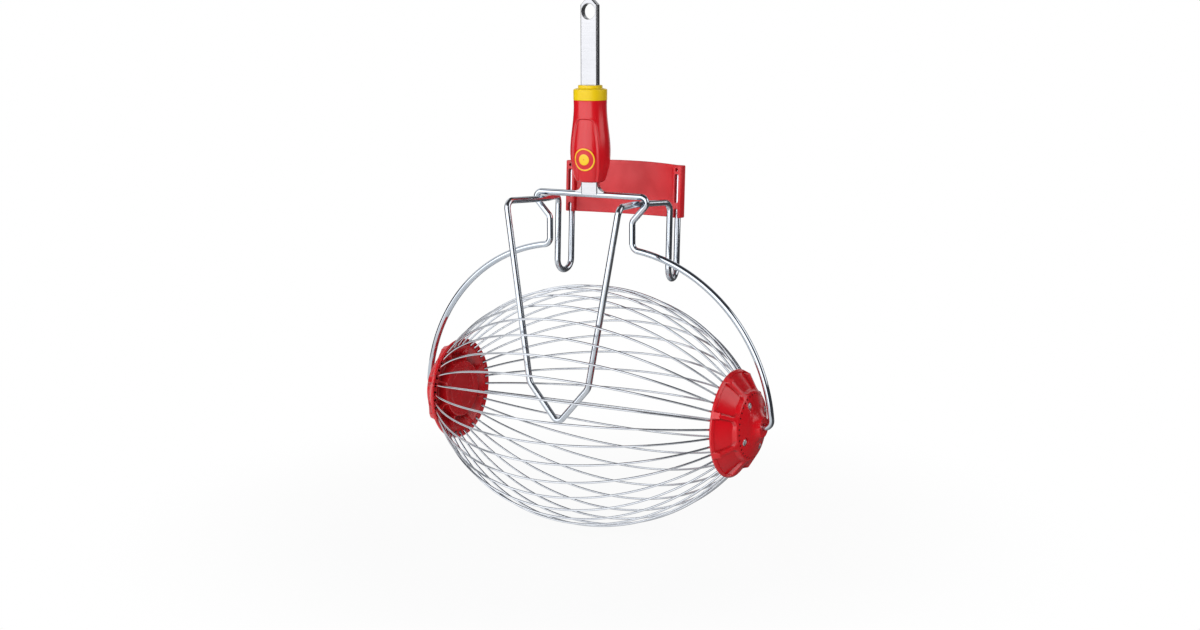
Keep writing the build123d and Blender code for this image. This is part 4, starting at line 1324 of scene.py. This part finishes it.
@dataclass
class Handle:
    """Grip with its sunk panel and badge, the collar above it, and the tang that carries both.

    Heights are above the roll axis.
    """

    # Columns round the grip from the panel's side of it: first angle, last angle and count
    FRONT_COLUMNS, REST_COLUMNS = (200.0, 340.0, 141), (340.0, 560.0, 90)
    GRIP_ROWS, COLLAR_SIDES, BADGE_SIDES, LATCH_SIDES, SADDLE_SIDES = 150, 128, 72, 72, 48
    FOOT_STEPS, TIP_STEPS, EDGE_STEPS, MOUTH_STEPS = 7, 6, 9, 5
    SLOT_POWER = 14.0
    COLLAR_ROUNDING = (0.4, 0.7, 0.5, 0.5)
    COLLAR_INSET = (0.5, 1.0)
    # Directions that the panel can lie in, by their sine, and an inset that is far outside it
    PANEL_FACING, OUTSIDE = -0.2, -9.0
    # Across the panel's outline: span of its wall, then bells of the bead and of the painted shade along its
    # edge
    PANEL_WALL, BEAD, SEAM = (-0.35, 0.65), (-0.8, 0.6), (0.3, 0.45)
    BADGE_ROWS = (1.0, 3.0, 4.6, 5.0, 5.4, 5.8, 7.0, 8.4, 8.9, 9.3, 9.7, 10.1, 10.5, 10.8, 11.0, 11.0)
    # Rows of the tang: straight run and chamfer; offset of the columns that hold its edges crisp
    TANG_ROWS, TANG_HOLD = (40, 8), 0.4
    GRIP_SHARP, COLLAR_SHARP, TANG_SHARP = 45.0, 40.0, 32.0

    axis_height: float
    bottom: float = 214.5
    top: float = 290.6
    heights: tuple[float, ...] = (214.5, 226.0, 240.0, 258.0, 274.0, 290.6)
    widths: tuple[float, ...] = (26.1, 33.4, 37.2, 35.4, 31.8, 31.0)
    slimness: float = 1.0
    squareness: float = 2.15
    foot_round: float = 2.0
    top_edge: float = 0.4
    slot: Pair = (17.66, 7.16)
    panel_top: float = 273.5
    panel_turn: float = 8.5
    panel_half: tuple[float, ...] = (9.6, 12.5, 12.1, 8.6)
    panel_heights: tuple[float, ...] = (214.5, 230.0, 252.0, 273.5)
    panel_sink: float = 1.3
    panel_corner: float = 5.0
    panel_bead: float = 0.35
    panel_shade: float = 0.25
    badge_height: float = 236.3
    badge_ring: Pair = (9.9, 0.75)
    badge_boss: Pair = (4.6, 5.6)
    badge_boss_share: float = 0.8
    badge_rise: Pair = (0.12, 0.38)
    badge_skirt: float = 1.2
    badge_dip: float = 0.02
    collar_band: float = 10.0
    collar_top: float = 304.4
    collar_neck: Pair = (22.6, 2.6)
    collar_lip: float = 0.1
    tang: Pair = (17.5, 7.0)
    tang_foot: float = 202.8
    tang_length: float = 180.4
    tang_chamfer: float = 5.5
    tang_edge: float = 1.5
    tip_edge: float = 0.8
    saddle: float = 3.02
    latch: Pair = (7.25, 11.5)
    latch_mouth: float = 0.4
    latch_past: float = 1.0

    @property
    def tang_top(self) -> float:
        """Height of the tang's tip."""
        return self.tang_foot + self.tang_length

    def width_at(self, height: Array) -> Array:
        """Width of the grip: the polynomial through the widths at its heights."""
        middle = np.mean(self.heights)
        curve = np.polyfit(np.array(self.heights) - middle, self.widths, len(self.heights) - 1)
        return np.polyval(curve, height - middle)

    def grip_section(self, width: Array, turn: Array) -> Array:
        """Distance from the middle to the grip's face, before the panel is sunk."""
        return superellipse(width / 2, (width - self.slimness) / 2, turn, self.squareness)

    def upright(self, radius: Array, turn: Array, height: Array) -> Array:
        """Points at a distance from the tang's middle line, turned from +X towards the rear."""
        return stacked(radius * np.cos(turn), radius * np.sin(turn), self.axis_height + height)

    def panel_inset(self, across: Array, height: Array) -> Array:
        """Distance inside the panel's outline, negative outside it.

        The outline's half width is the cubic through four heights, and its two top corners are round:
        side and top distances a and b give r - hypot(r - a, r - b) where both are under r.
        """
        half = np.polyval(np.polyfit(self.panel_heights, self.panel_half, 3), height)
        a, b = half - np.abs(across), self.panel_top - height
        corner = self.panel_corner
        rounded = corner - np.hypot(np.minimum(a - corner, 0.0), np.minimum(b - corner, 0.0))
        return np.minimum(np.where((a < corner) & (b < corner), rounded, np.minimum(a, b)), a)

    def rows(self) -> tuple[Array, Array]:
        """Heights and insets of the grip's outer rows, with its lower edge rounded."""
        curl = quarter_turn(self.FOOT_STEPS)
        foot = self.bottom + self.foot_round * (1 - np.cos(curl))
        inset = self.foot_round * (1 - np.sin(curl))
        straight = np.linspace(self.bottom + self.foot_round, self.top - self.top_edge, self.GRIP_ROWS)[1:]
        height = np.concatenate([foot, straight, [self.top]])
        return height, np.concatenate([inset, np.zeros(len(straight)), [self.top_edge]])

    def sleeve(self, radius: Array, height: Array, turn: Array, marks: dict[str, Array]) -> Lattice:
        """Closed sleeve: outer rows, then the tang's slot from the top row's height to the bottom's."""
        hole = superellipse(self.slot[0] / 2, self.slot[1] / 2, turn, self.SLOT_POWER)
        slot = np.stack([hole, hole])
        level = np.concatenate([height, [height[-1], height[0]]])
        points = self.upright(np.concatenate([radius, slot]), turn, level[:, None])
        full = {name: np.concatenate([values, np.zeros_like(slot)]) for name, values in marks.items()}
        return Lattice(points, close_rows=True, marks=full)

    def grip_lattice(self) -> Lattice:
        """Grip: rounded sections of changing width, with the panel sunk into its front.

        The front is pushed in by sink * step(inset), and a low bead follows the panel's outline.
        """
        height, inset = self.rows()
        around = np.radians(np.concatenate([
            np.linspace(*self.FRONT_COLUMNS), np.linspace(*self.REST_COLUMNS)[1:-1]
        ]))
        turn = around + np.radians(self.panel_turn)
        radius = self.grip_section(self.width_at(height)[:, None], turn) - inset[:, None]
        facing = np.broadcast_to(np.sin(around) < self.PANEL_FACING, radius.shape)
        inside = self.panel_inset(radius * np.cos(around), height[:, None])
        inside = np.where(facing, inside, self.OUTSIDE)
        sink = self.panel_sink * ease(inside, *self.PANEL_WALL)
        bead, seam_shade = bell(inside, *self.BEAD), bell(inside, *self.SEAM)
        # Painted shade in a line along the panel's outline; the bead's edge mark is scuffing and a painted
        # highlight line.
        marks = {"edge": bead, "painted_shade": self.panel_shade * seam_shade}
        return self.sleeve(radius - sink + self.panel_bead * bead, height, turn, marks)

    def collar_lattice(self) -> Lattice:
        """Collar: a band with eased edges, a sloping shoulder and a narrow neck."""
        wide = self.width_at(np.array(self.top)) / 2 + self.collar_lip
        narrow = self.collar_neck[0] / 2
        outline = rounded_profile(
            [
                (self.top, wide - self.COLLAR_INSET[0]),
                (self.top, wide),
                (self.top + self.collar_band, wide),
                (self.collar_top - self.collar_neck[1], narrow),
                (self.collar_top, narrow),
                (self.collar_top, narrow - self.COLLAR_INSET[1]),
            ],
            self.COLLAR_ROUNDING, bend=5, run=4,
        )
        turn = full_turn(self.COLLAR_SIDES)
        return self.sleeve(self.grip_section(2 * outline[:, 1:], turn), outline[:, 0], turn, {})

    def badge_lattice(self) -> Lattice:
        """Plain disc with a raised ring, bent round the panel's face.

        Over its radius the disc stands up by a bell for the ring and by a smooth step for a low boss.
        Its last row goes down into the panel.
        """
        radius = np.array(self.BADGE_ROWS)[:, None]
        turn = full_turn(self.BADGE_SIDES)
        height = self.badge_height + radius * np.sin(turn)
        width = self.width_at(height)
        bend = radius * np.cos(turn) / (width / 2 - self.panel_sink)
        round_grip = np.radians(self.panel_turn - 90.0) + bend
        ring = bell(radius, *self.badge_ring)
        boss = 1 - ease(radius, *self.badge_boss)
        foot, swell = self.badge_rise
        rise = foot + swell * np.maximum(ring, self.badge_boss_share * boss)
        rise[-1] = -self.badge_skirt
        face = self.grip_section(width, round_grip) - self.panel_sink
        points = self.upright(face + rise, round_grip, height)
        middle = points[0].mean(axis=0) - (0.0, self.badge_dip, 0.0)
        roundel = np.broadcast_to(np.maximum(ring, boss), height.shape)
        return Lattice(points, poles=(middle, points[-1].mean(axis=0)), marks={"roundel": roundel})

    def tang_lattice(self) -> Lattice:
        """Flat bar with round edges and a chamfered tip.

        A section is a rectangle whose corners are quarter circles: corner + edge * (cos, sin). Its half
        width falls by one for each length of the chamfer, and its last rows draw in by a quarter circle.
        """
        top, shoulder = self.tang_top, self.tang_top - self.tang_chamfer
        curl = quarter_turn(self.TIP_STEPS)
        height = np.concatenate([
            np.linspace(self.tang_foot, shoulder, self.TANG_ROWS[0]),
            np.linspace(shoulder, top - self.tip_edge, self.TANG_ROWS[1])[1:-1],
            top - self.tip_edge * (1 - np.sin(curl)),
        ])
        inset = np.zeros(len(height))
        inset[-len(curl):] = self.tip_edge * (1 - np.cos(curl))
        half = self.tang[0] / 2 - np.maximum(height - shoulder, 0.0) - inset
        thick = self.tang[1] / 2 - inset
        bend = np.pad(quarter_turn(self.EDGE_STEPS), 1, mode="edge")
        hold = np.tile(np.pad(np.zeros(len(bend) - 2), 1, constant_values=self.TANG_HOLD), 4)
        corner = np.repeat(np.arange(4) * np.pi / 2, len(bend))
        turn = np.tile(bend, 4) + corner
        right, rear = np.sign(np.cos(corner + np.pi / 4)), np.sign(np.sin(corner + np.pi / 4))
        on_face = np.abs(np.sin(turn)) > np.abs(np.cos(turn))
        x = right * (half[:, None] - self.tang_edge - hold * on_face) + self.tang_edge * np.cos(turn)
        y = rear * (thick[:, None] - self.tang_edge - hold * ~on_face) + self.tang_edge * np.sin(turn)
        ends = tuple(np.array([0.0, 0.0, self.axis_height + end]) for end in (self.tang_foot, top))
        return Lattice(stacked(x, y, self.axis_height + height[:, None]), poles=ends)

    def latch_lattice(self) -> Lattice:
        """Round plug with a flared mouth at each face, used to carve the latch hole."""
        radius, drop = self.latch
        half, mouth = self.tang[1] / 2, self.latch_mouth
        curl = quarter_turn(self.MOUTH_STEPS)
        flare = np.append(radius + mouth * (1 - np.cos(curl)), radius + mouth)
        depth = np.append(half - mouth + mouth * np.sin(curl), half + self.latch_past)
        reach = np.concatenate([flare[::-1], flare])[:, None]
        place = np.concatenate([-depth[::-1], depth])
        turn = full_turn(self.LATCH_SIDES)
        middle = self.axis_height + self.tang_top - drop
        points = stacked(reach * np.cos(turn), place[:, None], middle + reach * np.sin(turn))
        return Lattice(points, poles=tuple(np.array([0.0, end, middle]) for end in (place[0], place[-1])))

    def build_tang(self, shop: Workshop) -> None:
        """Make the tang, with its latch hole and the saddle that sits on the bow."""
        tang = shop.make(self.tang_lattice(), "flat_tang", "tang_steel")
        foot = np.array([(-self.tang[0], 0.0, self.axis_height + self.tang_foot)])
        saddle = cylinders(foot, (1.0, 0.0, 0.0), self.saddle, 2 * self.tang[0], self.SADDLE_SIDES)
        for name, tool in (("latch", self.latch_lattice()), ("saddle", saddle)):
            carve(tang, shop.make(tool, name, "tang_steel"))
        shop.seat(tang, Body.HANDLE, "tang_steel", "tang", self.TANG_SHARP)

    def build(self, shop: Workshop) -> None:
        """Make the grip, the badge, the collar and the tang, and keep the weld."""
        for lattice, name, finish, node, sharp in (
            (self.grip_lattice(), "moulded_grip", "grip_red", "grip", self.GRIP_SHARP),
            (self.badge_lattice(), "plain_roundel", "badge_yellow", "grip_badge", None),
            (self.collar_lattice(), "pole_collar", "collar_yellow", "collar", self.COLLAR_SHARP),
        ):
            shop.seat(shop.make(lattice, name, finish), Body.HANDLE, finish, node, sharp)
        self.build_tang(shop)
        shop.keep("tang_weld", "tang_steel")


# Studio


@dataclass(frozen=True)
class SoftBox:
    """Bright panel of the surround: a band of bearings and of heights with soft edges, all in degrees.

    Bearing 0 is the way to the photograph's camera, and bearings grow to the camera's right.
    """

    level: float
    bearing: float
    half_width: float
    low: float
    high: float
    soft: float

    def share(self, tree: Tree, way: Socket, camera_turn: float) -> Socket:
        """Share of the panel in each direction: smooth steps of the bearing and the height, multiplied.

        Args:
            tree: the surround's tree.
            way: direction that is looked up.
            camera_turn: turn of bearing 0 from +X, in degrees.

        Returns:
            1 on the panel and 0 off it.
        """
        turn = np.radians(camera_turn + self.bearing)
        ahead = dot(tree, way, (np.cos(turn), np.sin(turn), 0.0))
        aside = dot(tree, way, (-np.sin(turn), np.cos(turn), 0.0))
        off = sum_up(tree, "ABSOLUTE", sum_up(tree, "ARCTAN2", aside, ahead))
        height = sum_up(tree, "ARCSINE", dot(tree, way, (0.0, 0.0, 1.0)))
        low, high, half, soft = np.radians([self.low, self.high, self.half_width, self.soft])
        across = fit_range(tree, off, (half - soft, half + soft), (1.0, 0.0))
        above = fit_range(tree, height, (low - soft, low + soft))
        below = fit_range(tree, height, (high - soft, high + soft), (1.0, 0.0))
        return sum_up(tree, "MULTIPLY", across, sum_up(tree, "MULTIPLY", above, below))


@dataclass(frozen=True)
class Lamp:
    """Square soft light in metres and watts, mirrored in the object or not."""

    name: str
    place: Colour
    size: float
    power: float
    mirrored: bool = False

    def build(self, aim: Colour) -> None:
        """Hang the lamp, turned to the point that it lights."""
        light = bpy.data.lights.new(self.name, "AREA")
        light.size = self.size
        light.energy = self.power
        holder = put(self.name, light)
        holder.visible_camera = False
        holder.visible_glossy = self.mirrored
        turn = (Vector(aim) - Vector(self.place)).to_track_quat("-Z", "Y")
        holder.matrix_world = Matrix.Translation(self.place) @ turn.to_matrix().to_4x4()


@dataclass
class Studio:
    """Pale floor, soft light and the camera at the photograph's angle."""

    BOXES = (
        SoftBox(0.80, -132.0, 30.0, 13.0, 62.0, 5.0),
        SoftBox(1.90, -41.0, 44.0, -12.0, 36.0, 3.0),
        SoftBox(0.60, 152.0, 14.0, -10.0, 45.0, 4.0),
    )
    BACKDROP = SoftBox(1.00, 180.0, 16.0, -25.0, 20.0, 3.0)
    LAMPS = (
        Lamp("front", (-0.6, -2.4, 0.9), 1.2, 14.0),
        Lamp("fill", (1.7, -1.8, 1.3), 1.2, 22.0),
        Lamp("right", (1.32, 0.48, 0.92), 1.05, 5.0, mirrored=True),
        Lamp("left", (-2.2, 0.3, 1.4), 1.2, 8.0),
        Lamp("rear", (-0.4, 2.4, 1.6), 1.4, 22.0),
    )
    BLUE = 1.02
    FLOOR_SIDES = 128

    axis_height: float
    surround: Colour = (0.05, 0.05, 0.055)
    aim: Colour = (0.0, 0.0, 0.22)
    azimuth: float = 29.881
    elevation: float = 10.119
    roll: float = -0.099
    distance: float = 1626.6
    aside: float = 8.666
    above: float = 87.555
    focal_pixels: float = 1711.43
    image_width: float = 1200.0
    sensor: float = 36.0
    clip: Pair = (0.05, 60.0)
    floor_radius: float = 1.4
    floor_tone: Colour = (0.70, 0.70, 0.70)
    floor_roughness: float = 0.9
    floor_fade: Pair = (0.2, 0.5)
    floor_glow: Pair = (0.93, 1.0)
    floor_share: float = 0.9
    floor_mirror: Pair = (0.85, 0.03)
    floor_way: Colour = (0.6, 0.8, 0.0)
    floor_end: Pair = (-0.08, 0.22)

    def camera(self) -> None:
        """Place the camera that the photograph was taken with."""
        turn, lift = np.radians(self.azimuth), np.radians(self.elevation)
        back = Vector((np.sin(turn) * np.cos(lift), -np.cos(turn) * np.cos(lift), np.sin(lift)))
        right = Vector((np.cos(turn), np.sin(turn), 0.0))
        basis = Matrix((right, back.cross(right), back)).transposed()
        target = Vector((0.0, 0.0, self.axis_height + self.above)) + right * self.aside
        camera = bpy.data.cameras.new("camera")
        camera.sensor_width = self.sensor
        camera.lens = self.focal_pixels * self.sensor / self.image_width
        camera.clip_start, camera.clip_end = self.clip
        holder = put("camera", camera)
        tilt = Matrix.Rotation(np.radians(self.roll), 3, "Z")
        place = Matrix.Translation((target + back * self.distance) * MM)
        holder.matrix_world = place @ (basis @ tilt).to_4x4()
        bpy.context.scene.camera = holder

    @staticmethod
    def ray_kinds(tree: Tree) -> tuple[Socket, Socket]:
        """Masks of the rays that come from the camera and of those that a surface mirrors."""
        path = plug(tree, "LightPath").outputs
        mirrored = sum_up(tree, "MAXIMUM", path["Is Glossy Ray"], path["Is Transmission Ray"])
        return path["Is Camera Ray"], mirrored

    def floor(self) -> None:
        """Pale round floor that fades into the background and still takes the object's shadow.

        The glow's share is a smooth step of the distance from the middle, so that the floor is all glow
        beyond the shadow; reflections see a floor that ends towards the rear right.
        """
        turn = full_turn(self.FLOOR_SIDES)
        ring = self.floor_radius * stacked(np.cos(turn), np.sin(turn), 0.0)
        mesh = bpy.data.meshes.new("floor")
        mesh.from_pydata(ring.tolist(), [], [list(range(len(ring)))])
        floor = put("floor", mesh)
        material, tree, shader = blank_material("pale_floor")
        fill(tree, shader, {"Base Color": rgba(self.floor_tone), "Roughness": self.floor_roughness})
        where = plug(tree, "TexCoord").outputs["Object"]
        away = plug(tree, "VectorMath", {0: where}, operation="LENGTH").outputs["Value"]
        direct, mirrored = self.ray_kinds(tree)
        seen = sum_up(tree, "MULTIPLY", direct, fit_range(tree, away, self.floor_fade, self.floor_glow))
        seen = sum_up(tree, "MAXIMUM", seen, sum_up(tree, "MULTIPLY", mirrored, self.floor_share))
        dim = fit_range(tree, dot(tree, where, self.floor_way), self.floor_end, self.floor_mirror)
        glow = plug(tree, "Emission", {"Color": blend_colour(tree, direct, dim, WHITE), "Strength": 1.0})
        mixed = plug(tree, "MixShader", {0: seen, 1: shader.outputs[0], 2: glow.outputs[0]})
        tree.links.new(mixed.outputs[0], tree.nodes["Material Output"].inputs["Surface"])
        mesh.materials.append(material)

    def world(self) -> None:
        """Dim surround with soft boxes, and the white backdrop behind the object.

        The camera sees white all round; reflections see it where the backdrop is.
        """
        world = bpy.data.worlds.new("studio")
        bpy.context.scene.world = world
        world.use_nodes = True
        tree = world.node_tree
        tree.nodes.clear()
        way = plug(tree, "TexCoord").outputs["Generated"]
        camera_turn = self.azimuth - 90.0
        light: Socket | Colour = self.surround
        for box in self.BOXES:
            tone = (box.level, box.level, self.BLUE * box.level)
            light = blend_colour(tree, box.share(tree, way, camera_turn), light, tone)
        direct, mirrored = self.ray_kinds(tree)
        mirrored = sum_up(tree, "MULTIPLY", mirrored, self.BACKDROP.share(tree, way, camera_turn))
        seen = sum_up(tree, "MAXIMUM", direct, mirrored)
        shown = blend_colour(tree, seen, light, WHITE)
        background = plug(tree, "Background", {"Color": shown, "Strength": 1.0})
        plug(tree, "OutputWorld", {"Surface": background.outputs[0]})

    def build(self) -> None:
        """Set up the whole studio."""
        bpy.context.scene.view_settings.view_transform = "Standard"
        self.camera()
        self.floor()
        self.world()
        for lamp in self.LAMPS:
            lamp.build(self.aim)


def main() -> None:
    """Load the solids, build every sub-assembly around them and set the studio."""
    logging.basicConfig(level=logging.INFO, format="%(name)s: %(message)s")
    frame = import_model()
    roll = next(joint for joint in frame["joints"] if joint["name"] == "basket_roll")
    axis_height = roll["pos_m"][2] / MM
    shop = Workshop(frame)
    basket = Basket(axis_height)
    basket.build(shop)
    for side in Side:
        Hub(basket, side).build(shop)
    axle_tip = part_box("axle_clip_right")[0].x / MM - Bow.PAST_CLIP
    bow = Bow(axis_height, axle_tip)
    bow.build(shop)
    Bracket(bow).build(shop)
    Handle(axis_height).build(shop)
    Studio(axis_height).build()


if __name__ == "__main__":
    main()
